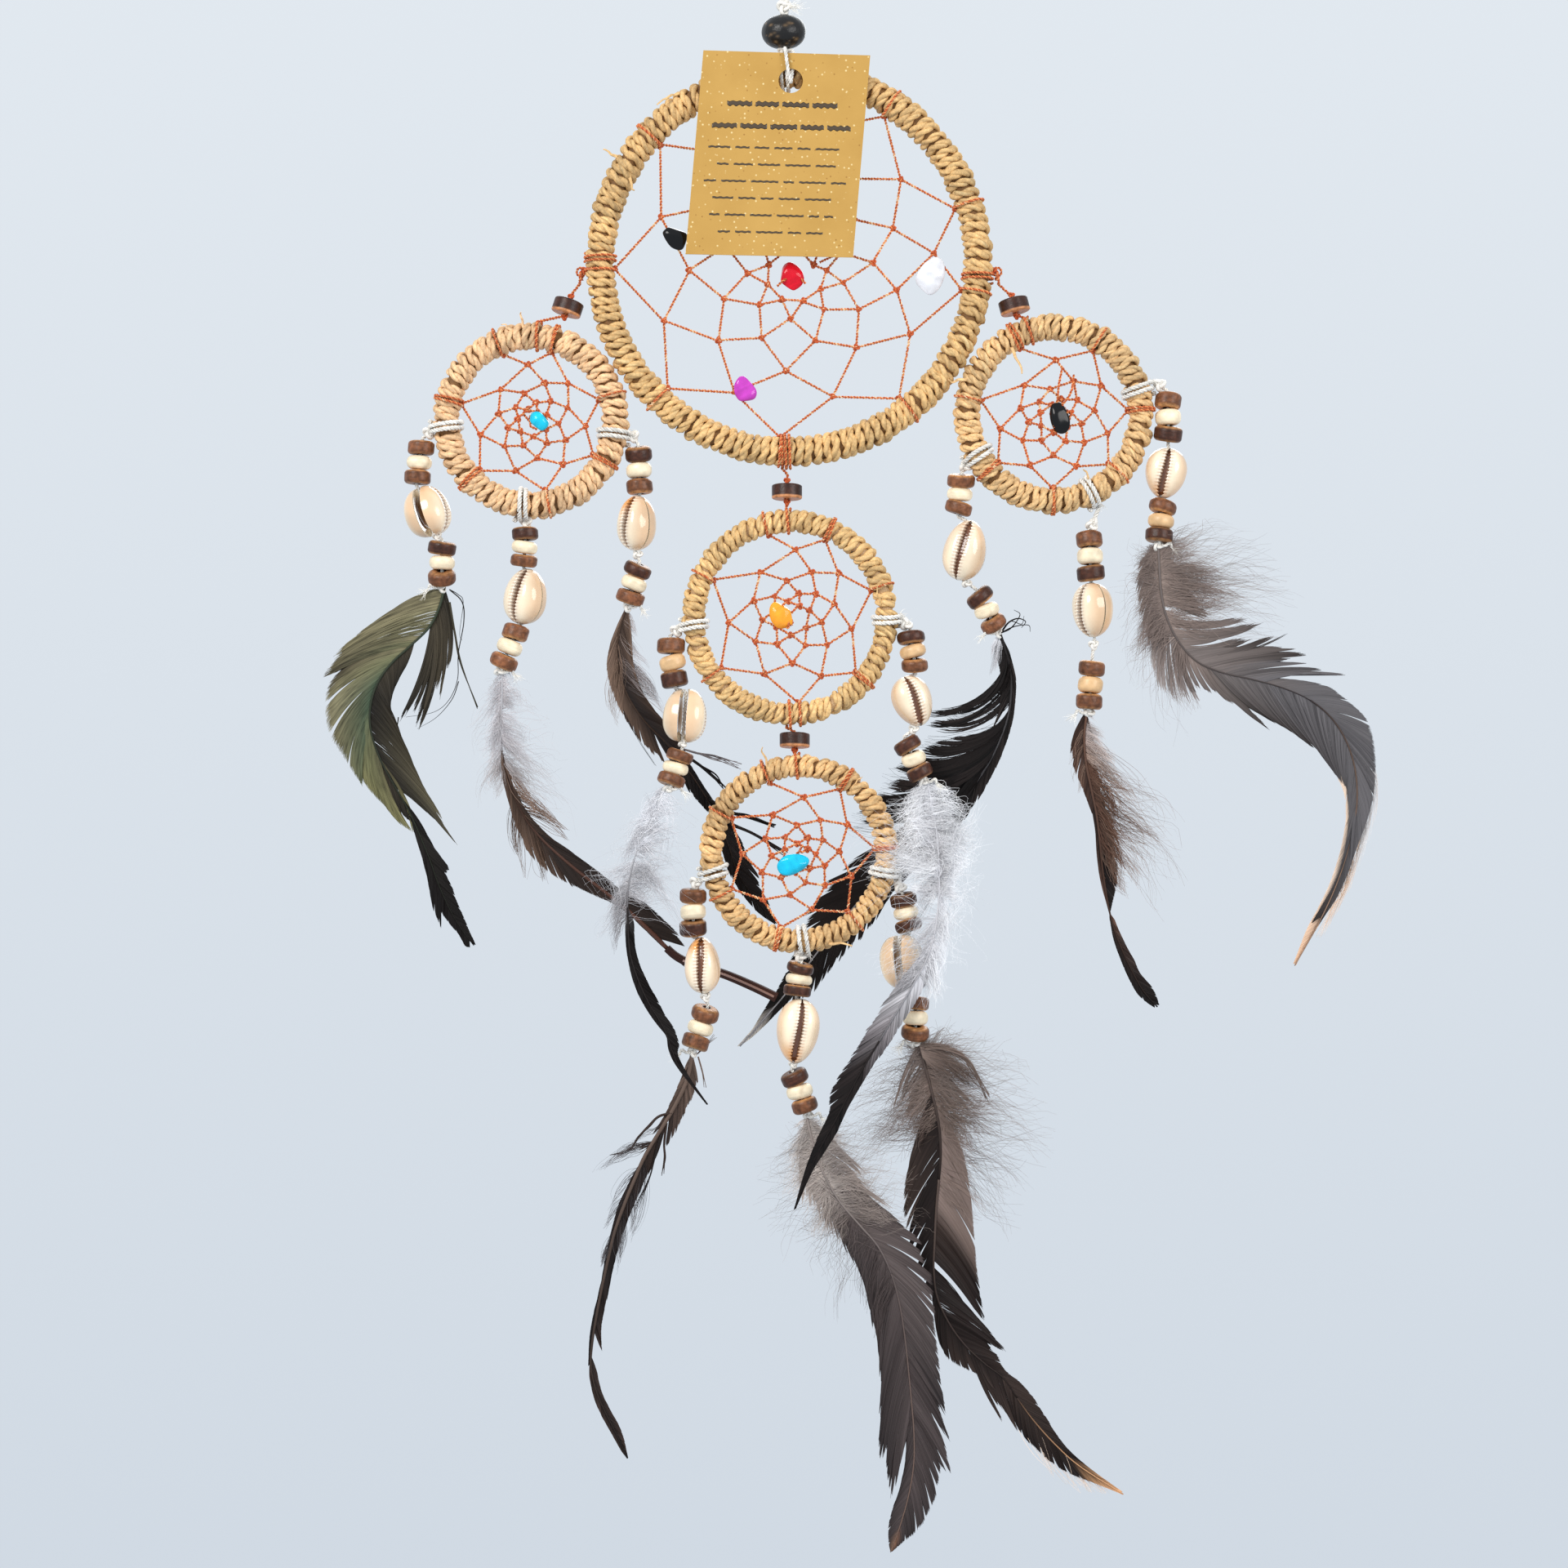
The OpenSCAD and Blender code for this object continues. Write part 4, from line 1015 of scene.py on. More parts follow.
class Feather:
    """A shaft with barbs. route is its (x, z) from the root down, and depth its y, spread evenly over it.

    Places on the shaft are given in route points: 2.5 is half way between the third and the fourth.
    """

    def __init__(self, name, depth, route):
        self.name = name
        y = np.interp(np.linspace(0, 1, len(route)), np.linspace(0, 1, len(depth)), depth)
        self.p = spline([(x, d, z) for (x, z), d in zip(route, y)], PER)
        self.i = np.arange(len(self.p)) / PER
        t = np.gradient(self.p, axis=0)
        k = 7
        pad = np.vstack([np.repeat(t[:1], k, 0), t, np.repeat(t[-1:], k, 0)])
        self.t = unit(sum(pad[j:j + len(t)] for j in range(2 * k + 1)))
        self.last = self.i[-1]
        self.vane, self.down = Shape(), Shape()

    def at(self, i):
        """Points of the shaft and its directions there."""
        return sample(self.p, self.i, i), unit(sample(self.t, self.i, i))

    def shaft(self, r0, r1, c0, c1, i0=0.0, i1=None, squash=1.0, forward=0.15):
        """The shaft between i0 and i1: from radius r0 and colour c0 to r1 and c1."""
        n = 70
        i = np.linspace(i0, self.last if i1 is None else i1, n)
        p, t = self.at(i)
        right = unit(np.cross(t, -FRONT))
        f = np.linspace(0, 1, n)[:, None]
        colour = np.asarray(c0) * (1 - f) + np.asarray(c1) * f
        self.vane.tube(p + FRONT * forward, np.linspace(r0, r1, n), colour, 7, squash=squash,
                       normals=(t, right, unit(np.cross(right, t))))

    def aimed(self, base, tip, t, bend, steps, y0, y1):
        """Curves from base to tip that set off away from the shaft and end nearly along it."""
        chord = tip - base
        turn = np.radians(bend) * np.sign(t[:, 0] * chord[:, 2] - t[:, 2] * chord[:, 0])
        c, s = np.cos(turn), np.sin(turn)

        def turned(v, s):
            """v turned in the row's plane, by the angle of cosine c and sine s."""
            return np.stack([v[:, 0] * c - v[:, 2] * s, v[:, 1], v[:, 0] * s + v[:, 2] * c], 1)

        m0, m1 = turned(chord, s), turned(chord, -s)
        u = np.linspace(0, 1, steps)[None, :, None]
        p = ((2 * u**3 - 3 * u**2 + 1) * base[:, None] + (u**3 - 2 * u**2 + u) * m0[:, None]
             + (3 * u**2 - 2 * u**3) * tip[:, None] + (u**3 - u**2) * m1[:, None])
        p[..., 1] += y0 + (y1 - y0) * u[..., 0] ** 1.5
        return p, u[..., 0]

    def tones(self, tones, v, u):
        """Colours at v along the stretch and u along the barbs. A tone is (v, at the shaft, at the tip)."""
        where = [k[0] for k in tones]
        near = np.stack([np.interp(v, where, [k[1][j] for k in tones]) for j in range(3)], -1)
        far = np.stack([np.interp(v, where, [k[2][j] for k in tones]) for j in range(3)], -1)
        f = u[..., None] * np.ones((len(v), 1, 1))
        return near[:, None] * (1 - f) + far[:, None] * f

    def lobe(self, i0, i1, edge, *tones, bend=16, spacing=0.3, clump=(2.5, 8), pull=0.55, ragged=0.05,
             back=0.0, coats=2,
             noise=0.13, mottle=0.0, bare=0.0, lean=2.1):
        """A stretch of vane: barbs from the shaft between i0 and i1 to tips along edge.

        The barbs are in clumps of clump millimetres of edge, and pull draws the tips of a clump together.
        """
        camber, steps = 0.05, 11
        e = spline([(x, z) for x, z in edge], 8)
        es = travel(e)
        ends, _ = self.at(np.array([i0, i1]))
        base_length = np.linalg.norm(ends[1] - ends[0])
        n = int(max(es[-1], base_length * 0.8) / spacing) + 3
        bounds = [0.0]
        while bounds[-1] < es[-1]:
            bounds.append(bounds[-1] + rng.uniform(*clump))
        bounds = np.array(bounds) / es[-1]
        mid = (bounds[1:] + bounds[:-1]) / 2
        draw = rng.uniform(0.15, 1, len(mid)) * pull
        size_c, tone_c, rise_c = (rng.normal(0, size, len(mid)) for size in (ragged, noise * 0.9, 0.35))
        for coat in range(coats):
            v = np.sort(np.clip((np.arange(n) + 0.5) / n + rng.normal(0, 0.25 / n, n), 0, 1))
            k = np.clip(np.searchsorted(bounds, v) - 1, 0, len(mid) - 1)
            i = i0 + (i1 - i0) * v
            base, t = self.at(i)
            exz = sample(e, es, v * es[-1])
            chord = np.stack([exz[:, 0] - base[:, 0], 0 * v, exz[:, 1] - base[:, 2]], 1)
            ahead = (chord * t).sum(1)
            off = np.sqrt(np.maximum((chord**2).sum(1) - ahead**2, 0))
            step = np.linalg.norm(np.gradient(self.p, axis=0), axis=1).mean() * PER
            i = np.clip(i - np.clip(lean * off - ahead, 0, 12) / step, 0.0, self.last)
            base, t = self.at(i)
            short = np.clip(off / 8, 0.12, 1)
            tip_v = np.clip(v + (mid[k] - v) * draw[k] * short, 0, 1)
            exz = sample(e, es, tip_v * es[-1])
            tip = np.stack([exz[:, 0], base[:, 1], exz[:, 1]], 1)
            size = 1 + (size_c[k] + rng.normal(0, ragged * 0.4, n)) * np.clip(off / 6, 0.3, 1) - 0.03 * coat
            tip = base + (tip - base) * size[:, None]
            reach = np.linalg.norm(tip - base, axis=1)
            y1 = (camber * reach + rise_c[k] * np.minimum(reach / 12, 1) + rng.normal(0, 0.06, n))[:, None]
            y0 = back + 0.22 * coat
            p, u = self.aimed(base, tip, t, bend + rng.normal(0, 2, n), steps, y0, y0 + y1)
            along = unit(np.gradient(p, axis=1))
            roll = rng.normal(0, 0.22, (n, 1, 1)) + rng.normal(0, 0.12, (len(mid),))[k][:, None, None]
            edge_dir = unit(np.cross(along, FRONT + roll * np.array([1.0, 0, 0.4])))
            wide = np.clip(base_length / n + (es[-1] / n - base_length / n) * u, 0.16, 0.7) * 0.85
            half = wide * np.clip(1.12 - u**7, 0.14, 1) * np.ones((n, 1))
            c = self.tones(tones, v, np.broadcast_to(u, (1, steps)))
            # each coat further back is painted 12% darker: painted shade under the coat in front
            shade = (1 + tone_c[k] + rng.normal(0, noise, n))[:, None] * (1 - 0.12 * coat)
            if mottle:
                x, z = p[..., 0], p[..., 2]
                patch = np.sin(x * 1.9 + 3 * np.sin(z * 0.7)) * np.sin(z * 2.3 + 2 * np.sin(x * 0.9))
                shade = shade * (1 - mottle * np.clip(patch + 0.5 * rng.normal(0, 1, p.shape[:2]), 0, 1))
            c = c * shade[..., None]
            if bare:
                keep = rng.uniform(0, 1, n) > bare
                p, edge_dir, half, c = p[keep], edge_dir[keep], half[keep], c[keep]
            self.vane.ribbons(p, edge_dir, half, c)

    def fluff(self, i0, i1, edge, n, *tones, curl=1.6, width=0.1, reach=(0.45, 1.08), loose=0.1, bend=12,
              depth=3.0, back=0.0, skew=1.0, bunch=24):
        """Down: fine curling filaments from the shaft between i0 and i1 to about the edge."""
        steps = 12
        e = spline([(x, z) for x, z in edge], 8)
        es = travel(e)
        m = n // bunch + 2
        of = rng.integers(0, m, n)
        v = np.clip(rng.uniform(0, 1, m)[of] + rng.normal(0, 0.03, n), 0, 1)
        base, t = self.at(i0 + (i1 - i0) * v)
        tip_v = np.clip(v + rng.normal(0, loose, m)[of] + rng.normal(0, loose * 0.4, n), 0, 1)
        exz = sample(e, es, tip_v * es[-1])
        tip = np.stack([exz[:, 0], base[:, 1], exz[:, 1]], 1)
        far = (0.65 * rng.uniform(0, 1, m)[of] + 0.35 * rng.uniform(0, 1, n)) ** skew
        tip = base + (tip - base) * (reach[0] + (reach[1] - reach[0]) * far)[:, None]
        size = np.linalg.norm(tip - base, axis=1)
        y1 = (rng.normal(0, depth, n) * np.minimum(size / 15, 1))[:, None] + back
        p, u = self.aimed(base, tip, t, bend + rng.normal(0, 14, n), steps, back, y1)
        for f in (0.9, 1.9):
            phase = rng.uniform(0, 6.28, (m, 1))[of] + rng.normal(0, 0.4, (n, 1))
            way = (rng.normal(0, 1, (m, 1, 3))[of] + rng.normal(0, 0.35, (n, 1, 3))) * (1, 0.7, 1)
            pace = rng.uniform(0.6, 1.3, (m, 1))[of] + rng.normal(0, 0.06, (n, 1))
            wave = np.sin(2 * np.pi * f * u * pace + phase) - np.sin(phase)
            p = p + way * (wave * u**0.8 * curl * np.minimum(size / 14, 1.3)[:, None] / (1 + f))[..., None]
        near = base[:, 1:2]
        p[..., 1] = near + DOWN_DEPTH * np.tanh((p[..., 1] - near) / DOWN_DEPTH)
        along = unit(np.gradient(p, axis=1))
        edge_dir = unit(np.cross(along, unit(FRONT + rng.normal(0, 0.4, (n, 1, 3)))))
        half = width * 0.5 * (1.15 - 0.8 * u) * rng.uniform(0.7, 1.3, (n, 1))
        shade = 1 + rng.normal(0, 0.14, (m, 1, 1))[of] + rng.normal(0, 0.08, (n, 1, 1))
        self.down.ribbons(p, edge_dir, half, self.tones(tones, v, np.broadcast_to(u, (1, steps))) * shade)

    def wisps(self, i0, i1, edge, n, *tones):
        """Single long hairs of down that stand out past the rest."""
        self.fluff(i0, i1, edge, n, *tones, curl=3.2, width=0.1, reach=(0.75, 1.3), loose=0.2, bunch=3,
                   depth=4)

    def strand(self, points, r, colour, y=0.0, n=1, spread=0.5):
        """A few loose barbs or a thread through (x, z) points that stands away from the feather."""
        for _ in range(n):
            q = np.array([(x, y, z) for x, z in points], float)
            k = len(q) - 1
            q[1:] += rng.normal(0, spread, (k, 3)) * np.linspace(0.3, 1, k)[:, None] * (n > 1)
            p = spline(q, 8)
            self.vane.tube(p, np.linspace(r, r * 0.25, len(p)),
                           np.asarray(colour) * rng.uniform(0.85, 1.1), 5)

    def build(self):
        """Makes the vane and the down on the feather's own body."""
        body = self.name + "_plume"
        mesh_object(self.name + "_vane", self.vane, M_VANE, body, [self.name + "_feather"])
        if self.down.count:
            mesh_object(self.name + "_down", self.down, M_DOWN, body)


K = srgb(22, 17, 16)
NIGHT, SOOT = srgb(17, 12, 11), srgb(34, 28, 27)
SLATE, ASH, PALE, SNOW = srgb(92, 88, 90), srgb(150, 146, 148), srgb(190, 188, 191), srgb(218, 218, 222)

# left outer: olive green, in lobes, the right ones nearly black, with a black tip
f = Feather("left_outer", (0, -1.5, -3, -4, -4, -3.5, -2.5, -1, 0),
            [(-133, -278), (-135, -286), (-139, -294), (-146, -301), (-153, -307.5), (-158.5, -315),
             (-161.5, -324), (-161.5, -334), (-158, -345), (-152.5, -355.5), (-147, -365), (-142.5, -375),
             (-138.5, -385), (-135, -395), (-130.5, -405), (-126, -412.5), (-121.5, -418.5)])
O1, O2, O3, OD, OB = srgb(116, 109, 83), srgb(96, 98, 71), srgb(110, 106, 72), srgb(62, 55, 43), srgb(30,
                                                            27, 23)
TEAL = srgb(60, 76, 60)
f.shaft(0.55, 0.2, srgb(52, 60, 46), NIGHT)
f.lobe(0.05, 3.2, [(-139, -280.5), (-148, -285.4), (-158, -290.3), (-166, -296), (-173, -303),
                   (-180.3, -313.4), (-175, -309)], (0, OD, OD), (0.25, O1, OD), (0.6, O1, O1),
       (1, O2, OD), bend=12, clump=(7, 16), pull=0.15, mottle=0.55, ragged=0.03, coats=3)
f.lobe(2.4, 6.8, [(-171.5, -309), (-176.6, -314.5), (-179, -322), (-178.6, -331), (-176.6, -338),
                  (-173, -343.5), (-169.6, -349), (-164.8, -356.4)], (0, O1, OB), (0.12, O1, OD),
       (0.3, O2, O1), (0.6, TEAL, O1), (1, TEAL, O2), bend=15, clump=(8, 22), pull=0.22, mottle=0.5,
       ragged=0.025)
f.lobe(6.0, 8.2, [(-166.5, -351.5), (-162, -358), (-156, -364), (-151, -370), (-146, -373.6),
                  (-142.8, -374.8)], (0, TEAL, O3), (0.5, O2, O3), (1, OD, O3), bend=13, clump=(5, 12),
       pull=0.3, mottle=0.45, ragged=0.03, back=-0.2)
f.lobe(0.05, 3.1, [(-130.6, -304), (-131.6, -309), (-134.4, -314), (-135.4, -318.6), (-138, -316),
                   (-140.4, -321), (-143, -332), (-145.6, -325.6), (-150.6, -329.2)], (0, OB, OD),
       (0.4, OD, OD), (1, OD, OB), bend=14, clump=(2, 5.5), pull=0.75, mottle=0.25, ragged=0.07, back=0.4)
f.lobe(3.8, 7.4, [(-149, -311), (-152.6, -318), (-154, -325), (-153.2, -331), (-152, -337),
                  (-150.4, -342)], (0, OD, OB), (1, OB, OB), bend=6, clump=(4, 9), pull=0.4, ragged=0.05)
f.lobe(6.4, 9.2, [(-149, -343.5), (-144, -351), (-139.4, -359), (-135.6, -365), (-134.2, -368.6),
                  (-132, -373.4), (-127.4, -379.6), (-134, -371.6), (-139, -367), (-144.6, -361.5)],
       (0, OB, OD), (0.5, OB, srgb(86, 80, 62)), (1, OB, OB), bend=8, clump=(2.5, 6), pull=0.6,
       ragged=0.035)
f.lobe(8.0, 10.6, [(-154, -361), (-150, -366), (-146, -370), (-143, -374)], (0, OD, OB), (1, OB, OB),
       bend=6, clump=(2, 4), pull=0.8, ragged=0.08, back=0.3)
f.lobe(10.2, 13.2, [(-142.4, -380), (-140, -389), (-138.4, -398), (-137.4, -404), (-134.3, -411.8)],
       (0, OB, NIGHT), (1, NIGHT, NIGHT), bend=4, clump=(3, 6), pull=0.8, ragged=0.03)
f.lobe(11.5, 15.9, [(-137.4, -396), (-135, -404), (-131, -410), (-127.6, -414), (-125, -418.5),
                    (-123, -419.3)], (0, NIGHT, NIGHT), (1, NIGHT, NIGHT), bend=5, clump=(3, 8), pull=0.5)
f.lobe(9.6, 15.9, [(-139, -377), (-134.6, -384), (-130.8, -388.3), (-132, -391), (-130.4, -394.6),
                   (-129, -399), (-126.4, -405), (-123.4, -412), (-120.8, -418.2)], (0, OB, NIGHT),
       (1, NIGHT, NIGHT), bend=5, clump=(2.5, 6), pull=0.6)
f.strand([(-131, -279), (-126, -284), (-125.4, -292), (-127.5, -304), (-127.8, -314), (-131, -322),
          (-137, -327), (-148, -329)], 0.28, OB, -1)
f.strand([(-131, -279), (-127.6, -281), (-125.6, -284), (-127, -296), (-126, -299)], 0.2, OB, -1)
f.strand([(-127.4, -315), (-130, -322), (-136, -329), (-143.6, -333.6)], 0.22, OB, -1)
f.strand([(-131, -284), (-129, -296), (-126.6, -308), (-120, -325)], 0.55, srgb(60, 56, 44), -0.6, 3, 0.3)
f.strand([(-151, -329), (-151.6, -336), (-150, -342)], 0.25, OB, -1)
f.build()

# left bottom: grey down, then a narrow dark brown vane that sweeps right and ends in a bare glossy quill
f = Feather("left_bottom", (0, 2, 5, 9, 13, 17, 20, 22, 23.5, 24, 25, 25, 25),
            [(-110.5, -310.5), (-110.6, -321), (-111.2, -332), (-111, -342), (-109, -352), (-106, -361),
             (-101.5, -370), (-95, -378), (-87, -385.5), (-78.5, -392.5), (-69.5, -399.5), (-60.5, -407),
             (-51.5, -415.5), (-43.5, -423.5), (-35, -427.6), (-24, -431), (-13, -435.6), (-3, -440.4)])
B1, B2, B3 = srgb(70, 54, 46), srgb(44, 35, 31), srgb(104, 82, 68)
f.shaft(0.35, 0.4, PALE, ASH, 0, 3)
f.shaft(0.4, 0.9, B1, srgb(92, 60, 50), 3, 12.6)
f.shaft(1.7, 2.1, srgb(56, 34, 30), srgb(64, 38, 32), 12.6, 17, squash=0.7)
# a pale tube along the front of the dark quill is its glossy highlight, painted
f.shaft(0.5, 0.5, srgb(168, 140, 132), srgb(150, 116, 104), 13.4, 16.9, forward=1.6)
f.lobe(3.0, 8.0, [(-110.6, -354), (-108.6, -362), (-106, -371), (-102.6, -379), (-97.6, -385.6),
                  (-91.4, -391), (-84, -395.6)], (0, B3, B1), (0.5, B1, B3), (1, B2, B1), bend=5,
       clump=(3, 9), pull=0.5, ragged=0.05)
f.lobe(7.0, 13.0, [(-84, -395.6), (-76, -399.4), (-66.5, -403.6), (-58, -410), (-50.4, -418), (-44, -424),
                   (-39.6, -428)], (0, B2, B2), (1, B2, B1), bend=3, clump=(5, 14), pull=0.3, ragged=0.04)
f.lobe(3.4, 7.4, [(-107.6, -356), (-103.6, -363), (-99.6, -369.6), (-94, -375), (-88, -380),
                  (-81.6, -384.6)], (0, B3, B1), (1, B2, B2), bend=6, clump=(3, 8), pull=0.5, ragged=0.05)
f.lobe(6.4, 13.0, [(-81.6, -384.6), (-75.6, -388.4), (-69.6, -393), (-62.6, -398), (-55.6, -402.6),
                   (-49.6, -408), (-44, -413.4), (-38.6, -420.4)], (0, B2, B2), (1, B2, B2), bend=4,
       clump=(5, 14), pull=0.3, ragged=0.04)
f.fluff(3.6, 5.6, [(-96, -368), (-90, -372), (-84, -374), (-82, -378.6)], 90, (0, B3, srgb(128, 106, 94)),
        (1, B3, srgb(128, 106, 94)), curl=0.6, width=0.2, reach=(0.7, 1.05))
f.fluff(4.6, 7.0, [(-107, -386), (-101, -393), (-92, -395)], 90, (0, B1, B3), (1, B1, B3), curl=0.6,
        width=0.16, reach=(0.6, 1.05))
G1, G2 = srgb(196, 190, 192), srgb(168, 160, 160)
f.fluff(0.0, 3.6, [(-113, -316), (-117.5, -322), (-118.6, -332), (-116, -342), (-117, -352),
                   (-113.6, -362)], 760, (0, G1, PALE), (0.6, G1, PALE), (1, G2, srgb(170, 160, 156)),
        curl=3.0, width=0.11, skew=1.3)
f.fluff(0.0, 3.8, [(-105, -314), (-102, -322), (-99.6, -332), (-96, -341), (-93, -352), (-89.6, -366)],
        820, (0, G1, PALE), (0.6, G1, PALE), (1, G2, srgb(160, 148, 142)), curl=3.0, width=0.11,
        reach=(0.2, 1.06), skew=1.6)
f.wisps(0.2, 4.4, [(-102, -314), (-97, -326), (-93, -340), (-88, -356), (-86, -368)], 70, (0, G1, G2),
        (1, G2, G2))
f.wisps(0.2, 4.0, [(-116, -316), (-120, -330), (-119, -344), (-115, -360)], 50, (0, G1, G2), (1, G2, G2))
f.build()

# left inner: long dark strands with a grey fringe on the right, behind the middle and bottom hoops
f = Feather("left_inner", (0, 2, 5, 8, 11, 13, 15, 16, 17, 18.5, 19),
            [(-61.8, -286), (-64.4, -294), (-65.6, -303), (-64.4, -313), (-60.5, -322.5), (-54.5, -331),
             (-47, -338.5), (-40.5, -346), (-35, -354), (-30, -362), (-25.6, -370), (-21.8, -380),
             (-18.4, -390), (-12, -400), (-3, -410.6)])
D1, D2 = srgb(74, 57, 47), srgb(118, 96, 82)
f.shaft(0.5, 0.2, D1, NIGHT)
f.lobe(0.05, 5.6, [(-66.6, -297), (-69, -304), (-69.4, -311), (-67.4, -319.4), (-63, -329),
                   (-57.6, -336.6), (-52, -342.6), (-47, -346.4)], (0, D2, D2), (0.5, D1, D2),
       (1, SOOT, D1), bend=5, clump=(2, 6), pull=0.6, ragged=0.06, spacing=0.34)
f.lobe(0.05, 6.2, [(-60, -297), (-59.4, -306), (-57.6, -315), (-53.4, -323), (-48, -330), (-43, -335),
                   (-38, -343), (-36.6, -347)], (0, D1, D2), (0.5, SOOT, D1), (1, SOOT, SOOT), bend=5,
       clump=(2, 6), pull=0.6, ragged=0.06, spacing=0.34)
f.lobe(5.4, 9.2, [(-42, -350), (-39, -355.4), (-34.6, -361.4), (-29.4, -367)], (0, SOOT, SOOT),
       (1, NIGHT, NIGHT), bend=3, clump=(1.5, 3.5), pull=0.8, ragged=0.06)
f.lobe(5.6, 10.0, [(-36.6, -348), (-33, -354), (-28.4, -361), (-24, -368)], (0, SOOT, SOOT),
       (1, NIGHT, NIGHT), bend=3, clump=(2, 4), pull=0.7, ragged=0.05)
f.lobe(9.4, 14.0, [(-25.4, -378), (-23, -387), (-19.6, -394.6), (-14, -402.6), (-8, -408), (-3.4, -411)],
       (0, NIGHT, NIGHT), (1, NIGHT, NIGHT), bend=4, clump=(3, 7), pull=0.6)
f.lobe(9.2, 14.0, [(-19, -374), (-15, -382), (-11.6, -390), (-9.6, -396), (-6.4, -402), (-2.8, -410)],
       (0, NIGHT, SOOT), (1, NIGHT, NIGHT), bend=4, clump=(2, 5), pull=0.7, ragged=0.06)
f.strand([(-40, -343), (-33, -348), (-27.6, -352), (-23.6, -357)], 0.65, NIGHT, 12.5, 5, 0.6)
f.strand([(-41, -341), (-34, -343), (-27, -345), (-18, -347.6)], 0.4, srgb(120, 114, 116), 12.2, 8, 0.8)
f.strand([(-30, -361), (-22, -366), (-14, -368.4), (-4, -372)], 0.75, NIGHT, 14.6, 7, 0.5)
f.strand([(-28, -365), (-21, -371), (-12, -375), (0, -382.4)], 0.75, SOOT, 14.6, 8, 0.7)
f.strand([(-66, -312), (-64, -324), (-58, -337), (-50, -348)], 0.16, SOOT, 7, 3, 0.7)
f.fluff(0.05, 3.4, [(-56, -297), (-54, -306), (-51, -315), (-48, -323), (-45.6, -329)], 280,
        (0, D2, srgb(176, 170, 172)), (1, D1, srgb(150, 144, 146)), curl=0.9, width=0.13,
        reach=(0.5, 1.05), bend=8)
f.fluff(1, 4, [(-70, -322), (-66, -332), (-58, -345)], 60, (0, D2, D2), (1, D2, D2), curl=1.0, width=0.12,
        reach=(0.6, 1.1))
f.build()

# right inner: black and glossy; its barbs fan far out to the left in pointed strands, and its tip is pale
f = Feather("right_inner", (0, 3, 7, 12, 17, 21, 24, 26, 27.5, 28, 28, 28),
            [(84.6, -296.5), (87.6, -305), (89.4, -315), (88.8, -326), (86, -336), (81.4, -346),
             (75, -356), (67, -365.5), (58, -375), (48.6, -384), (38.6, -393.4), (28.6, -403.6),
             (19.4, -414.6), (10.6, -426), (1.4, -438), (-7.6, -448.6), (-17.6, -460)])
KK = (0, K, K), (1, K, srgb(38, 31, 29))
f.shaft(0.7, 0.25, K, ASH)
f.lobe(0.05, 6.4, [(88.6, -304), (91, -314), (91, -322), (90, -330), (88, -338), (84.6, -346.6),
                   (80.6, -355), (76, -362.6), (71, -370)], *KK, noise=0.3, bend=3, clump=(3, 8), pull=0.6,
       ragged=0.05)
f.lobe(0.0, 2.6, [(82.6, -303), (84.6, -311), (85, -319), (84.4, -327), (82, -334)], *KK, noise=0.3,
       lean=0, bend=4, clump=(2, 4), pull=0.5, ragged=0.04)
f.lobe(0.5, 2.4, [(78, -324.6), (70, -326), (57, -326.4), (66, -328.4), (54.4, -332.4), (68, -331),
                  (60, -334)], *KK, noise=0.3, lean=0, bend=-46, clump=(3, 6), pull=0.9, ragged=0.05,
       bare=0.7)
f.lobe(2.9, 4.8, [(74, -336.4), (64, -337.6), (54, -341.6), (43.6, -350), (50, -349.6), (37.6, -358.8),
                  (50, -354)], *KK, noise=0.3, lean=0, bend=-38, clump=(4, 9), pull=0.85, ragged=0.05)
f.lobe(4.0, 7.2, [(52, -355), (44, -358), (27.6, -367), (40, -364.6), (33, -369.6), (46, -368),
                  (60, -368)], *KK, noise=0.3, lean=0, bend=-22, clump=(3, 7), pull=0.85, ragged=0.06)
f.lobe(4.6, 7.4, [(62, -368), (64, -371), (67, -372), (71, -370)], *KK, noise=0.3, lean=0, bend=6,
       clump=(2, 4), pull=0.85, ragged=0.06)
f.lobe(4.6, 9.6, [(50, -370), (44, -376), (36, -380.4), (30, -384), (24.6, -388.6), (19, -394.6)], *KK,
       bend=6, clump=(4, 9), pull=0.6, ragged=0.06)
f.lobe(9.0, 12.8, [(19, -394.6), (14.6, -400), (10.8, -405.6), (9.8, -409.6), (8, -415), (5, -421)], *KK,
       bend=8, clump=(3, 8), pull=0.5)
f.lobe(6.0, 12.6, [(70, -371), (62, -379), (54, -387), (46, -395.6), (39.6, -404), (35.4, -411.6),
                   (28.6, -417.6), (23, -424.6)], *KK, bend=8, clump=(3, 7), pull=0.6, ragged=0.06)
f.lobe(11.6, 14.6, [(23, -424.6), (18, -430.4), (13, -436), (9.6, -440.6), (3, -443)], *KK, bend=8,
       clump=(2.5, 6), pull=0.7, ragged=0.06)
f.lobe(12.4, 16.0, [(4, -423), (0, -432), (-5, -440.6), (-9.6, -448), (-13, -453.6), (-18.6, -460)],
       (0, K, K), (0.6, K, K), (0.8, ASH, srgb(214, 204, 190)), (1, PALE, srgb(230, 220, 204)), bend=4,
       clump=(3, 6), pull=0.5)
f.lobe(13.4, 16.0, [(3, -441), (-2.6, -446.6), (-8, -452), (-13, -456.6), (-17.4, -459.6)], (0, K, K),
       (0.45, K, K), (0.7, ASH, srgb(214, 204, 190)), (1, PALE, srgb(230, 220, 204)), bend=4, clump=(2, 5),
       pull=0.6)
f.fluff(2.6, 6.4, [(58, -334), (46, -346), (36, -360), (28, -372)], 160, *KK, curl=0.8, width=0.14,
        reach=(0.8, 1.12), bend=-30, bunch=10)
f.fluff(0.6, 3.0, [(84, -318), (76, -326), (58, -330)], 70, *KK, curl=0.6, width=0.14, reach=(0.7, 1.05),
        bend=-46, bunch=8)
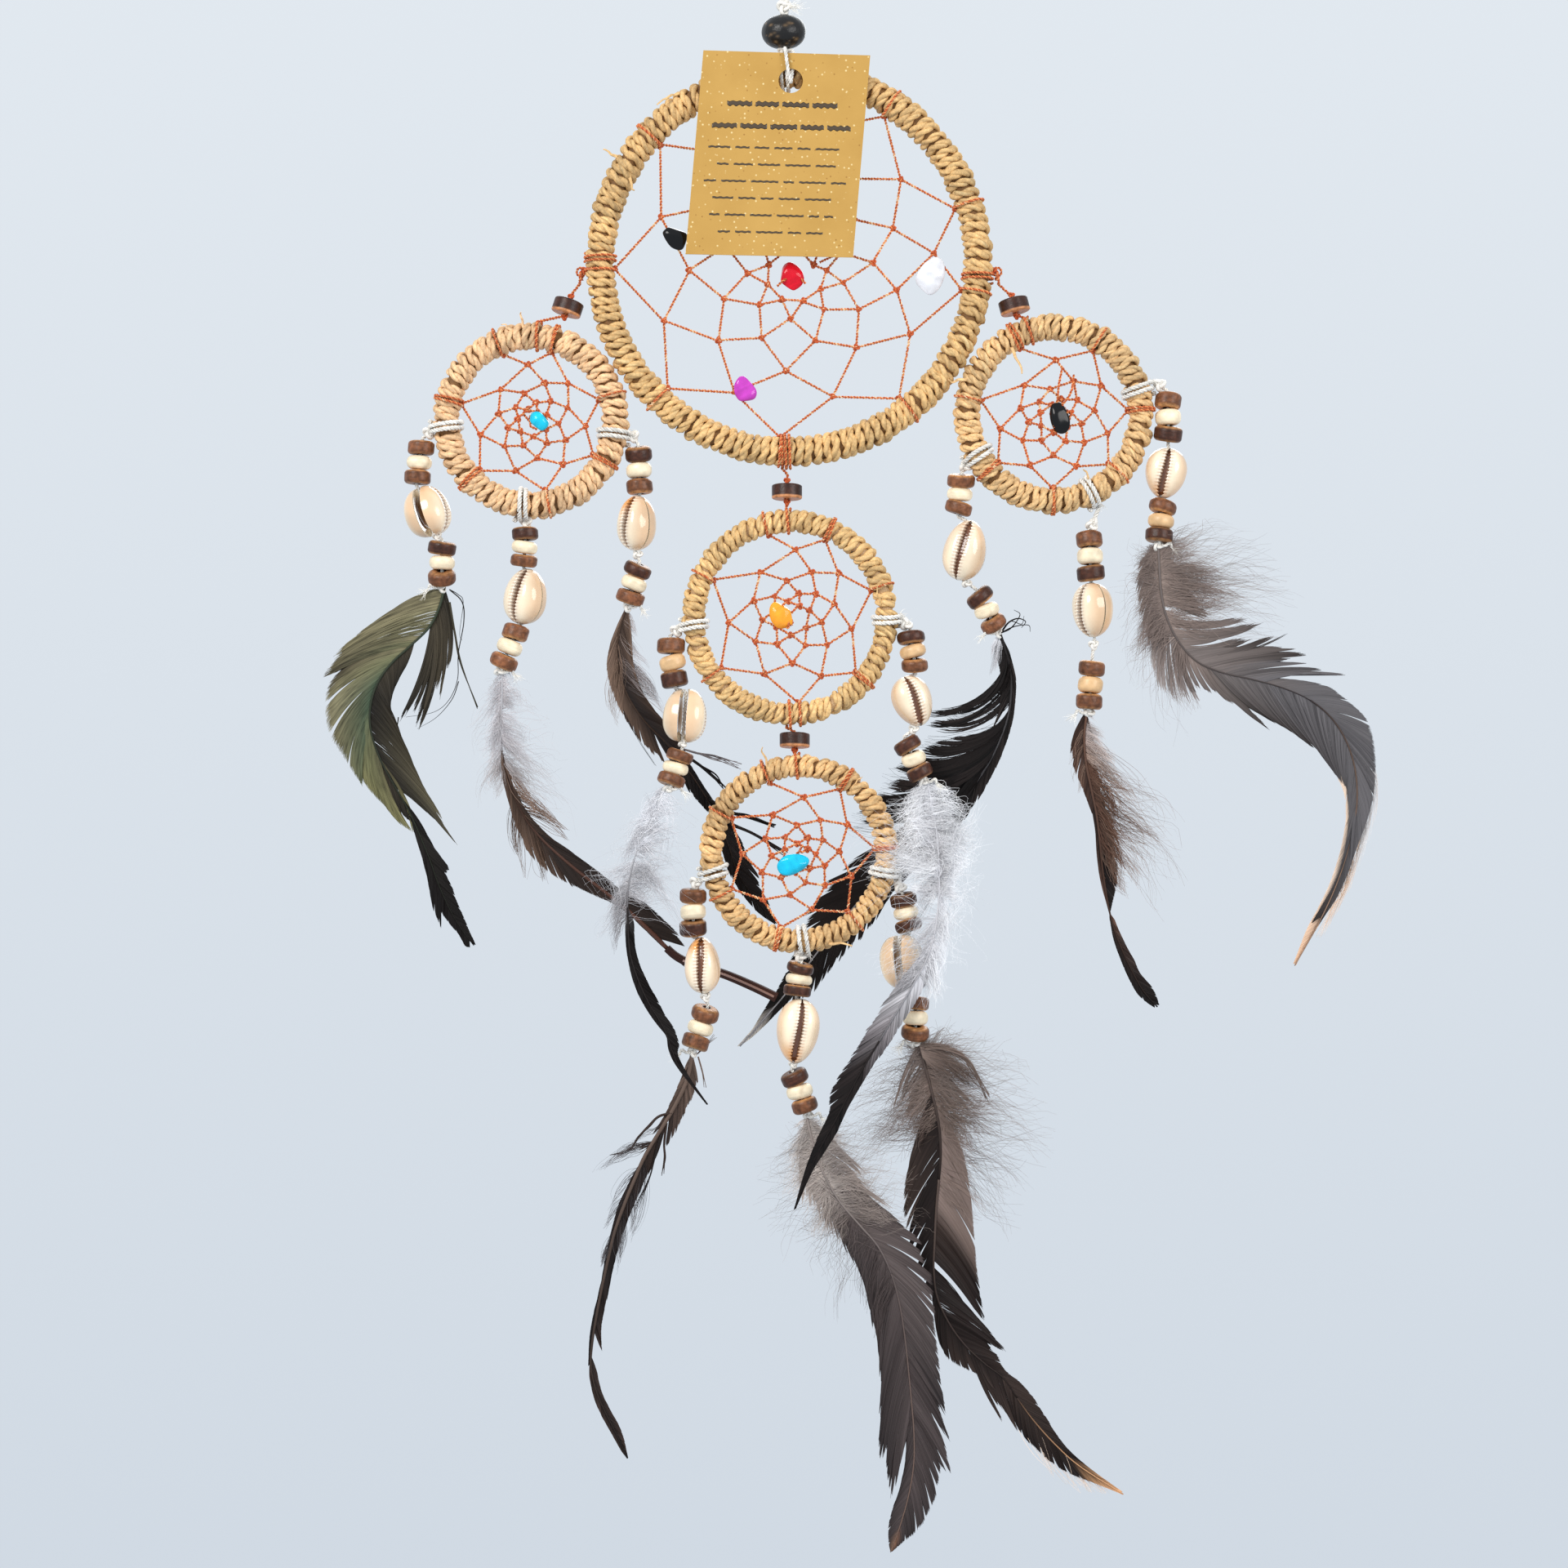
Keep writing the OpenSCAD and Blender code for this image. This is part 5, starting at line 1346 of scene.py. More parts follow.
f.fluff(0.0, 0.4, [(81, -306), (83.4, -309), (79.6, -316)], 140, (0, SNOW, PALE), (1, SNOW, PALE),
        curl=0.8, width=0.12)
f.strand([(85, -296), (88, -292), (91.6, -290.4), (94.6, -291.6), (93, -294)], 0.45, K, -0.6)
f.strand([(85, -296), (89, -294), (92.4, -289), (90, -287)], 0.36, K, -1.0)
f.strand([(85, -296), (90, -293.6), (95.6, -293), (96.4, -295.6)], 0.32, K, -1.4)
f.strand([(85, -296), (88.6, -291.6), (93, -292.6), (94, -289.4)], 0.3, K, -1.2)
f.build()

# right bottom: dark brown, its right side loose and fluffy, pinched in the middle, with a black end
f = Feather("right_bottom", (0, -1, -2, -3, -3, -2, -1, 0, 1),
            [(118.6, -327), (117.6, -337), (118.2, -347), (120.2, -357), (122.2, -367), (123.4, -377),
             (124.4, -387), (125.8, -397), (127.4, -405.4), (129.6, -413), (132.8, -421), (136.6, -429),
             (141, -436.6), (146.4, -442.6)])
R1, R2, R3 = srgb(50, 36, 31), srgb(92, 66, 54), srgb(138, 112, 97)
f.shaft(0.5, 0.3, R2, NIGHT)
f.lobe(0.05, 4.0, [(116, -331), (113.2, -337), (112.4, -343), (113.4, -349), (115.8, -354.6),
                   (118.4, -361), (120.6, -367)], (0, R1, R1), (0.6, R1, R2), (1, R1, R1), bend=8,
       clump=(3, 7), pull=0.5, ragged=0.04)
f.lobe(3.4, 8.0, [(120.8, -367), (121.8, -374), (122.2, -382), (123, -389), (124.4, -396), (126.4, -402.6),
                  (127.2, -405.4)], (0, NIGHT, R1), (1, NIGHT, R2), bend=3, clump=(4, 9), pull=0.4,
       ragged=0.03)
f.lobe(0.1, 5.0, [(121, -340), (122.4, -350), (124.6, -360), (127, -369), (130, -377)], (0, R1, R2),
       (1, R1, R2), bend=4, clump=(1.5, 4), pull=0.8, ragged=0.08)
f.lobe(3.6, 8.0, [(128, -374), (129.6, -382), (130.2, -389), (129.4, -397), (127.8, -405)], (0, NIGHT, R1),
       (1, NIGHT, NIGHT), bend=4, clump=(3, 7), pull=0.5, ragged=0.05)
f.lobe(8.1, 13.0, [(127.8, -409), (129, -416), (131.8, -424), (135, -431.4), (138.6, -437.6),
                   (142.4, -441), (145.4, -443)], (0, R1, NIGHT), (1, NIGHT, NIGHT), bend=3, clump=(4, 9),
       pull=0.4, ragged=0.03)
f.lobe(8.1, 13.0, [(129.6, -409), (131.6, -413.6), (134.6, -419.6), (137.4, -424.6), (139.6, -429.4),
                   (144, -434.6), (146.2, -438.6), (147.2, -442)], (0, R2, R2), (0.25, R1, R1),
       (1, NIGHT, NIGHT), bend=4, clump=(1.5, 4), pull=0.6, ragged=0.04)
f.fluff(0.0, 1.8, [(124.6, -330), (126, -334), (127.6, -341), (130.6, -350), (133, -357)], 620,
        (0, G2, srgb(198, 190, 188)), (1, R3, srgb(180, 164, 156)), curl=1.1, width=0.11,
        reach=(0.25, 1.05))
f.fluff(1.2, 5.2, [(132, -356), (140, -362), (146, -374), (147.6, -381), (141, -391), (138, -400),
                   (136, -405)], 360, (0, R2, R3), (1, R1, R3), curl=1.5, width=0.15, reach=(0.35, 1.05),
        bend=6)
f.fluff(2.0, 5.0, [(130, -368), (134.6, -378), (133.4, -386), (131.6, -396)], 160, (0, R2, R2),
        (1, R1, R2), curl=0.9, width=0.24, reach=(0.6, 1.05), bend=8)
f.wisps(1.0, 5.4, [(132, -350), (146, -364), (152, -384), (144, -402)], 90, (0, R2, R3), (1, R1, R3))
f.fluff(0.6, 3.0, [(110, -352), (113, -362), (117.6, -374)], 40, (0, R3, R3), (1, R3, R3), curl=1.0,
        width=0.1, reach=(0.5, 1.05))
f.build()

# right outer: a large grey feather, fluffy at the base, that sweeps right and then hangs down,
# edged with peach and white
f = Feather("right_outer", (0, -1, -2, -3, -4, -5, -5, -4, -3, -2, 0, 2, 3, 4),
            [(146.6, -262), (147, -271), (147.6, -280), (149.6, -289.6), (154, -299), (161, -307),
             (171, -311.6), (183, -314.4), (195, -317.8), (205.6, -322.6), (214, -329.6), (220, -339),
             (223.4, -350), (224.2, -362), (222.6, -374), (219.6, -386), (215.8, -397), (211, -407.6),
             (206, -417), (200.6, -426.6)])
Y1, Y2, Y3, Y4 = srgb(130, 114, 106), srgb(106, 97, 94), srgb(90, 87, 89), srgb(46, 40, 38)
PEACH, WHITISH = srgb(232, 206, 184), srgb(226, 220, 217)
f.shaft(0.55, 0.2, srgb(110, 100, 96), srgb(46, 40, 40), 0, 9)
f.shaft(0.35, 0.2, srgb(46, 40, 40), srgb(150, 120, 100), 9, 19)
f.lobe(3.0, 4.9, [(172, -292), (181, -289.6), (178, -294), (188, -291.6), (176, -297.6), (184, -298.4),
                  (196, -296.6)], (0, Y1, Y2), (1, Y2, Y4), bend=-14, lean=0, clump=(3, 6), pull=0.7,
       ragged=0.1, coats=1, noise=0.12)
f.lobe(4.4, 6.1, [(176, -302.8), (185, -301.6), (193, -302.2), (206, -304.4), (196, -306.8), (190, -308)],
       (0, Y2, Y2), (0.7, Y2, Y4), (1, Y2, Y3), bend=6, lean=0, clump=(5, 9), pull=0.8, ragged=0.05,
       noise=0.12)
f.lobe(5.6, 7.4, [(188, -308.6), (198, -307.8), (207, -308.4), (217.4, -312.6), (206, -312), (196, -313)],
       (0, Y2, Y3), (1, Y3, Y3), bend=8, lean=0, clump=(6, 11), pull=0.75, ragged=0.04, noise=0.12)
f.lobe(7.0, 10.4, [(197, -314.8), (206, -315.4), (213.4, -317.6), (218, -321), (224, -325.6),
                   (228.4, -330.6), (230.4, -336.4), (231.4, -342)], (0, Y2, Y3), (0.5, Y3, Y3),
       (1, Y3, Y3), bend=10, clump=(8, 18), pull=0.28, ragged=0.02, noise=0.06)
f.lobe(9.8, 13.8, [(231.2, -341), (231.6, -348), (231.2, -356), (230.2, -363), (227.8, -371),
                   (224.8, -379), (222.4, -386)], (0, Y3, Y3), (1, Y3, Y3), bend=7, clump=(8, 18),
       pull=0.25, ragged=0.02, noise=0.06)
f.lobe(13.0, 17.6, [(222.4, -386), (220, -392.6), (217, -399.6), (213.6, -405), (209, -412)], (0, Y3, Y3),
       (1, Y4, Y4), bend=4, clump=(6, 12), pull=0.3, ragged=0.02, noise=0.06)
f.lobe(3.0, 4.9, [(143.6, -300), (144.6, -309), (149, -316), (155, -320), (162, -320.6)],
       (0, Y1, srgb(176, 166, 162)), (1, Y2, srgb(150, 140, 137)), bend=9, clump=(3, 8), pull=0.5,
       ragged=0.08, coats=1, bare=0.25)
f.lobe(4.6, 6.6, [(158, -317), (167, -319.6), (176, -322.6), (182, -325.6), (187, -331), (192.4, -336.6)],
       (0, Y1, Y2), (1, Y2, Y4), bend=9, clump=(2.5, 6), pull=0.6, ragged=0.06)
f.lobe(6.0, 9.2, [(183, -326), (191, -330.4), (197, -334), (202, -337.4), (207, -341.4), (212.4, -344.4),
                  (214.2, -347)], (0, Y2, Y4), (1, Y3, Y4), bend=9, clump=(4, 9), pull=0.5, ragged=0.03)
f.lobe(8.6, 11.8, [(213, -345.6), (214.6, -350), (217.8, -354.4), (220.4, -357.8), (221, -363)],
       (0, Y3, Y4), (1, Y3, Y3), bend=8, clump=(5, 12), pull=0.3, ragged=0.02)
f.lobe(11.2, 17.6, [(221, -363), (221, -371), (219.8, -379), (218.2, -387), (215.8, -394.6), (211.6, -402),
                    (207, -410)], (0, Y3, Y3), (1, Y4, Y4), bend=3, clump=(8, 16), pull=0.3, ragged=0.02,
       noise=0.06)
f.lobe(10.8, 18.9, [(216.4, -352.4), (219.2, -359), (220, -368), (218.8, -378), (216.4, -387.6),
                    (213.4, -396), (209.6, -404), (205, -413), (200.2, -426)], (0, Y3, PEACH),
       (0.6, Y3, PEACH), (1, srgb(226, 184, 150), srgb(226, 184, 150)), bend=4, clump=(8, 16), pull=0.3,
       ragged=0.02, back=0.7, noise=0.05)
f.lobe(17.0, 19.0, [(209.4, -411), (206, -417), (203, -422), (201, -426.6)], (0, Y4, srgb(226, 184, 150)),
       (1, srgb(200, 156, 124), srgb(226, 184, 150)), bend=3, clump=(3, 6), pull=0.3)
rim = np.array([(230.6, -343), (231, -352), (230, -363), (227, -374), (223, -385), (218.6, -396),
                (213, -406), (208, -415)], float)
for k in range(110):
    i = rng.uniform(0.2, 5.4)
    q = [sample(rim, np.arange(8), i + d) for d in (0, 0.6, 1.2, min(1.8, 7 - i))]
    out = rng.uniform(0.8, 3.4) * np.array([1, -0.3])
    f.strand([tuple(q[j] + out * (j / 3) ** 0.7 - 0.5 * (j == 0)) for j in range(4)], 0.1,
             WHITISH if i < 3 else PEACH, np.interp(i, [0, 7], [-1.5, 4]))
F1, F2 = srgb(143, 127, 119), srgb(123, 109, 103)
f.fluff(0.0, 1.4, [(156, -258), (168, -258.4), (176, -262), (171, -268), (177, -273), (184, -276)], 950,
        (0, F1, srgb(150, 138, 132)), (1, F1, F2), curl=2.4, width=0.11, reach=(0.2, 1.05), skew=1.5)
f.fluff(1.0, 3.2, [(172, -276), (176, -280), (184, -282), (190, -285), (184, -291), (180, -296)], 950,
        (0, F1, F2), (1, F1, F2), curl=1.8, width=0.12, reach=(0.2, 1.05), skew=1.6, bend=-6)
f.wisps(0.0, 3.2, [(158, -256), (176, -260), (186, -272), (194, -284), (186, -296)], 190, (0, F1, F2),
        (1, F1, F2))
f.wisps(0.2, 4.4, [(138, -262), (133, -280), (134, -298), (142, -318), (158, -332)], 120, (0, F1, F2),
        (1, F1, F2))
f.fluff(0.0, 3.6, [(142, -262), (137.4, -266), (136.4, -276), (136.6, -286), (136, -295), (138, -305)],
        1150, (0, F1, F2), (1, F2, F2), curl=1.8, width=0.12, reach=(0.3, 1.05))
f.fluff(2.4, 4.6, [(136, -300), (141, -311), (148, -322), (158, -328), (166, -328)], 260, (0, F2, F2),
        (1, F2, F2), curl=1.0, width=0.13, reach=(0.5, 1.08))
f.lobe(0.0, 3.2, [(140, -267), (138.6, -276), (139.4, -285), (141, -294), (144, -301)], (0, F1, F2),
       (1, F1, F2), bend=9, clump=(2, 6), pull=0.6, ragged=0.12, bare=0.3, coats=1, back=0.5)
f.lobe(0.0, 3.4, [(153, -268), (158, -275), (161, -282), (166, -287), (168, -292)], (0, F1, F1),
       (1, F1, F2), bend=-6, clump=(2, 6), pull=0.6, ragged=0.14, bare=0.3, coats=1, back=0.5)
f.build()

# middle left: white down that thins to a narrow black vane
f = Feather("middle_left", (0, -2, -4, -6, -7, -8, -9, -9, -9, -9, -9),
            [(-46, -356), (-51, -366), (-56, -377), (-59.4, -388), (-61, -399), (-60.8, -410), (-60, -421),
             (-57, -431), (-52.4, -441), (-46.6, -450.6), (-43.6, -459), (-40.6, -466), (-35.6, -473),
             (-30, -480)])
f.shaft(0.2, 0.3, SNOW, SLATE, 0, 4.4)
f.shaft(0.35, 0.2, SOOT, K, 4.4, 13)
f.lobe(4.4, 13.0, [(-61.8, -412), (-61.4, -420), (-59.4, -430), (-56.6, -437.6), (-53, -444),
                   (-49.4, -449), (-45.8, -453.6), (-45, -458.6), (-42.4, -464.4), (-36, -472.6),
                   (-30, -480)], (0, SLATE, SOOT), (0.1, K, K), (1, K, K), bend=3, clump=(2, 6), pull=0.6,
       ragged=0.04)
f.lobe(4.4, 13.0, [(-58.4, -410), (-58, -418.6), (-56, -426), (-52.8, -433), (-49.4, -439), (-46.4, -445),
                   (-42.8, -450.4), (-40.8, -456.4), (-41.2, -460.6), (-38.4, -466.6), (-34.4, -473),
                   (-29.6, -480)], (0, SLATE, SOOT), (0.1, K, K), (1, K, K), bend=3, clump=(2, 6),
       pull=0.6, ragged=0.04)
f.fluff(0.0, 4.0, [(-51, -358), (-58, -368), (-62.6, -378), (-66.4, -385), (-68, -395), (-70.6, -408)],
        900, (0, SNOW, SNOW), (0.6, SNOW, PALE), (1, ASH, PALE), curl=3.2, width=0.13, reach=(0.15, 1.05),
        loose=0.14, skew=1.4)
f.fluff(0.0, 4.0, [(-41, -359), (-41, -370), (-44, -381), (-45, -390), (-44, -399), (-42, -405)], 900,
        (0, SNOW, SNOW), (0.6, SNOW, PALE), (1, ASH, PALE), curl=3.2, width=0.13, reach=(0.15, 1.05),
        loose=0.14, skew=1.4)
f.wisps(0.2, 5.0, [(-40, -362), (-38, -380), (-40, -396), (-40, -412)], 90, (0, SNOW, PALE), (1, ASH, PALE))
f.wisps(0.2, 5.0, [(-54, -360), (-66, -378), (-70, -396), (-72, -414)], 90, (0, SNOW, PALE), (1, ASH, PALE))
f.fluff(3.2, 5.6, [(-69, -410), (-67, -418), (-64, -426), (-62, -430)], 150, (0, ASH, ASH),
        (1, SLATE, SLATE), curl=1.0, width=0.12, reach=(0.4, 1.05))
f.build()

# middle right: a big tuft of pale down, then a streaky grey vane that darkens to a black point
f = Feather("middle_right", (0, -3, -6, -9, -12, -14, -14, -13, -12, -11, -10, -8),
            [(56, -354), (58.4, -366), (60, -378), (60.6, -390), (60, -402), (58.4, -414), (54.6, -425),
             (49, -435), (43, -445), (37, -455), (31, -465), (25.6, -475), (20, -486), (14, -497),
             (9, -508), (4, -521)])
W1 = srgb(238, 238, 240)
f.shaft(0.2, 0.3, SNOW, PALE, 0, 5)
f.shaft(0.3, 0.35, PALE, SLATE, 5, 9)
f.shaft(0.35, 0.2, SOOT, K, 9, 15)
streak = (0, SNOW, PALE), (0.2, PALE, ASH), (0.34, srgb(128, 122, 124), srgb(92, 86, 88)), (0.5, SOOT,
                                                            SOOT), (0.62, K, K), (1, K, K)
f.lobe(5.0, 15.0, [(52, -424), (45.6, -431), (39.6, -439), (33.6, -449), (28, -458), (22.6, -467),
                   (18.4, -476), (17, -484), (12.6, -493.6), (8, -506), (4, -521)], *streak, bend=3,
       clump=(1.5, 5), pull=0.8, ragged=0.05, noise=0.24)
f.lobe(5.0, 15.0, [(58.6, -427), (53, -437), (46.6, -447), (40.4, -456.6), (35, -464), (30, -472.4),
                   (25, -481), (20.6, -490.6), (16.4, -497.6), (10.6, -507), (4.4, -521)], *streak, bend=3,
       clump=(1.5, 5), pull=0.8, ragged=0.05, noise=0.24)
f.fluff(0.0, 3.6, [(61, -357), (66, -361), (71, -367), (75, -376), (72.6, -386), (68, -394), (66, -402)],
        1700, (0, SNOW, W1), (0.5, PALE, W1), (1, PALE, W1), curl=4.6, width=0.15, reach=(0.15, 1.04),
        loose=0.16, depth=5, bunch=40)
f.fluff(0.0, 3.6, [(51, -358), (47.4, -364), (44, -371), (39, -377), (35.6, -385), (40, -392), (46, -396)],
        1700, (0, SNOW, W1), (0.5, PALE, W1), (1, PALE, W1), curl=4.6, width=0.15, reach=(0.15, 1.04),
        loose=0.16, depth=5, bunch=40)
f.wisps(0.2, 6.0, [(64, -358), (74, -368), (77, -384), (72, -402), (68, -424)], 150, (0, SNOW, W1),
        (1, PALE, W1))
f.wisps(0.2, 6.0, [(48, -360), (38, -374), (34, -388), (42, -410), (38, -430)], 130, (0, SNOW, W1),
        (1, PALE, W1))
f.fluff(3.0, 6.4, [(66, -404), (65.6, -415), (64, -426), (61, -438), (57, -444)], 620, (0, SNOW, W1),
        (1, PALE, W1), curl=2.4, width=0.12, reach=(0.4, 1.05))
f.fluff(3.0, 6.4, [(48, -400), (48.6, -410), (48, -420), (44, -430), (40, -438)], 420, (0, SNOW, PALE),
        (1, PALE, ASH), curl=2.0, width=0.12, reach=(0.4, 1.05))
f.build()

# bottom left: a scraggly bundle of dark strands that thins to one, with a small black blade at its end
f = Feather("bottom_left", (0, 0, -1, -2, -3, -3, -3, -3, -2, -1, 1, 2),
            [(-36, -461), (-38, -471), (-42.6, -481), (-48.6, -491), (-54.6, -501), (-59, -511),
             (-63, -521), (-66.4, -531), (-69, -542), (-71.4, -553), (-73.4, -563.6), (-75, -573.6),
             (-75.6, -583), (-73.8, -592), (-70.4, -600.6), (-66, -609.6), (-61.4, -619.8)])
Q1, Q2 = srgb(104, 86, 76), srgb(56, 43, 38)
f.shaft(0.9, 0.3, Q1, K)
f.lobe(0.0, 2.6, [(-38.6, -466), (-41, -472), (-44, -479), (-47.4, -486), (-52, -493)], (0, Q1, Q1),
       (1, Q2, Q2), bend=3, clump=(1.5, 3), pull=0.8, ragged=0.06, noise=0.2)
f.lobe(0.0, 3.0, [(-33.6, -471), (-36, -478), (-39.6, -485.6), (-42.6, -492), (-46.4, -497)], (0, Q1, Q1),
       (1, Q2, Q2), bend=3, clump=(1.5, 3), pull=0.8, ragged=0.06, noise=0.2)
f.lobe(2.6, 7.6, [(-56, -503), (-59.6, -511), (-64.6, -519.6), (-67, -528), (-69, -536), (-70.6, -545)],
       (0, Q2, Q2), (1, SOOT, K), bend=3, clump=(1.5, 4), pull=0.8, ragged=0.05)
f.lobe(2.6, 7.6, [(-51, -504), (-55.6, -513), (-59.6, -522), (-63, -531), (-65.6, -540), (-68, -549)],
       (0, Q2, Q2), (1, SOOT, K), bend=3, clump=(1.5, 4), pull=0.8, ragged=0.07)
f.lobe(7.0, 12.0, [(-70.8, -548), (-72.6, -556), (-75, -565), (-76.2, -573), (-76.6, -583)], (0, SOOT, K),
       (1, K, K), bend=2, clump=(3, 6), pull=0.5, ragged=0.04)
f.lobe(7.0, 11.4, [(-68, -551), (-70, -560), (-71.4, -568), (-71.2, -577)], (0, SOOT, K), (1, SOOT, Q2),
       bend=2, clump=(2, 4), pull=0.7, ragged=0.04)
f.lobe(11.6, 16.0, [(-76, -588), (-74.4, -595.6), (-71.4, -603), (-67.6, -610), (-64, -616.6),
                    (-61.6, -619.8)], (0, SOOT, Q2), (1, K, Q2), bend=3, clump=(2, 5), pull=0.5,
       ragged=0.04)
f.lobe(11.6, 16.0, [(-73, -587), (-71, -594), (-68, -600.6), (-65, -606), (-62.6, -612.6),
                    (-61.2, -619.8)], (0, SOOT, Q2), (1, K, Q2), bend=4, clump=(2, 5), pull=0.5,
       ragged=0.04)
f.strand([(-44, -484), (-49, -485.4), (-53, -489), (-57, -493.6), (-60.6, -498.4), (-67.4, -500.2)], 0.55,
         Q2, -1, 3, 0.4)
f.strand([(-46, -488), (-47, -496), (-46.6, -502), (-47.4, -508)], 0.5, Q2, -0.6, 4, 0.4)
f.strand([(-48, -492), (-50, -499), (-52.6, -509), (-58, -521)], 0.4, SOOT, -1.4, 4, 0.6)
f.strand([(-33.6, -462), (-32, -468), (-31, -474)], 0.35, Q1, -0.6, 3, 0.4)
f.strand([(-34, -461), (-31, -458), (-27, -454.6)], 0.25, Q1, -0.8, 4, 0.6)
f.fluff(2.6, 4.2, [(-60, -497), (-66, -501), (-74, -506), (-77, -510), (-70, -510)], 70, (0, Q2, SLATE),
        (1, Q2, SLATE), curl=1.3, width=0.13, reach=(0.4, 1.05))
f.fluff(4.0, 7.6, [(-66, -517), (-70, -525), (-71.6, -534), (-72, -545)], 90, (0, SOOT, SLATE),
        (1, SOOT, SLATE), curl=0.6, width=0.13, reach=(0.5, 1.05))
f.fluff(4.0, 7.6, [(-56, -522), (-60, -534), (-64, -546), (-67, -556)], 90, (0, SOOT, SLATE),
        (1, SOOT, SLATE), curl=0.6, width=0.13, reach=(0.5, 1.05))
f.build()

# bottom centre: beige-grey down, then a broad dark grey vane with splits on both sides and a small tan tip
f = Feather("bottom_center", (0, 1, 1, 0, -1, -2, -2, -2, -2, -1, 0, 2),
            [(9, -486), (11.6, -497), (15.6, -508), (21.6, -518.6), (29.6, -528), (37, -536.6), (42, -547),
             (45.2, -558.6), (47.2, -571), (48.6, -583.6), (49.8, -596), (50.8, -608.6), (50.8, -621),
             (49, -633), (45.8, -645), (41.8, -656.6)])
C1, C2, C3 = srgb(88, 78, 76), srgb(70, 61, 60), srgb(48, 42, 42)
f.shaft(0.5, 0.3, srgb(160, 148, 142), C1, 0, 6)
f.shaft(0.32, 0.2, C1, srgb(120, 96, 84), 6, 15)
f.lobe(2.4, 6.0, [(20, -527), (24, -536), (28.6, -544), (31.6, -552), (33.6, -560), (35, -568)],
       (0, C1, C3), (1, C2, C3), bend=7, clump=(1.5, 4), pull=0.8, ragged=0.06, noise=0.14)
f.lobe(5.0, 9.4, [(35.4, -566), (36.6, -575), (37.8, -584), (38, -593), (37.4, -602), (37.6, -611),
                  (38.4, -619.6), (40, -616), (41, -628)], (0, C1, C2), (0.5, C2, C3), (1, C2, C3), bend=5,
       clump=(3, 8), pull=0.5, ragged=0.03)
f.lobe(8.6, 10.6, [(40.6, -622), (42.4, -634.6), (44.6, -626), (46.4, -618), (48, -610)], (0, C2, C3),
       (1, C2, C2), bend=3, clump=(2.5, 6), pull=0.7, ragged=0.04)
f.lobe(10.0, 15.0, [(48.4, -618), (47, -625), (44.8, -633), (42, -640.6), (40.8, -647), (41, -653),
                    (41.8, -656.6)], (0, C2, C3), (0.85, C2, C3), (1, srgb(150, 112, 84), C3), bend=5,
       clump=(3, 8), pull=0.4, ragged=0.02)
f.lobe(2.6, 6.4, [(36, -519), (43, -525), (49, -530.6), (53.6, -537), (56.4, -546), (58, -555)],
       (0, C1, C1), (1, C1, C2), bend=9, clump=(4, 10), pull=0.4, ragged=0.04)
f.lobe(5.6, 9.0, [(57.6, -553), (59, -563), (60, -573), (60.8, -582), (61.6, -590), (63.2, -602.6)],
       (0, C1, C1), (1, C2, C3), bend=6, clump=(5, 12), pull=0.4, ragged=0.02)
f.lobe(8.2, 9.8, [(58.6, -592), (60.6, -599), (64, -610.6), (61.6, -608)], (0, C2, C2), (1, C2, C3),
       bend=5, clump=(2, 5), pull=0.7, ragged=0.03)
f.lobe(9.2, 15.0, [(60.6, -609), (63, -615), (64.2, -624.6), (61.6, -623), (60.6, -630), (58.4, -636.6),
                   (55.4, -642.6), (51.4, -648), (46.6, -652.6), (42.2, -656.6)], (0, C2, C2),
       (0.9, C2, C3), (1, srgb(170, 120, 90), C3), bend=6, clump=(3, 7), pull=0.5, ragged=0.03)
H1, H2 = srgb(192, 180, 172), srgb(158, 144, 136)
f.fluff(0.0, 3.6, [(5, -489), (1.6, -496), (0, -506), (-1.6, -517), (4, -523), (11, -533), (19, -541)],
        1200, (0, H1, srgb(210, 202, 198)), (0.6, H1, H1), (1, C1, H2), curl=2.2, width=0.12,
        reach=(0.25, 1.04))
f.fluff(0.0, 3.8, [(15, -488), (23, -492), (31, -499), (37, -507), (38.6, -514), (42, -520), (46, -526)],
        1400, (0, H1, srgb(204, 196, 192)), (0.6, H1, H2), (1, C1, H2), curl=2.2, width=0.12,
        reach=(0.2, 1.02))
f.wisps(0.0, 4.4, [(18, -488), (34, -496), (44, -510), (50, -528)], 170, (0, C1, H2), (1, C1, H2))
f.wisps(0.2, 5.4, [(4, -490), (-4, -506), (-2, -524), (10, -540), (22, -558)], 170, (0, C1, H2),
        (1, C1, C1))
f.lobe(0.0, 3.4, [(6, -497), (6, -507), (9, -517), (15, -527), (22, -534)], (0, H1, H1), (1, C1, H2),
       bend=8, clump=(2, 5), pull=0.6, ragged=0.14, bare=0.3, coats=1, back=0.6)
f.lobe(0.0, 3.4, [(18, -494), (25, -501), (31, -509), (35, -517), (40, -523)], (0, H1, H2), (1, C1, H2),
       bend=8, clump=(2, 5), pull=0.6, ragged=0.14, bare=0.3, coats=1, back=0.6)
f.fluff(3.0, 6.6, [(22, -540), (28, -551), (33, -563), (36, -577)], 160, (0, C1, C2), (1, C2, C2),
        curl=1.0, width=0.14, reach=(0.5, 1.08))
f.build()

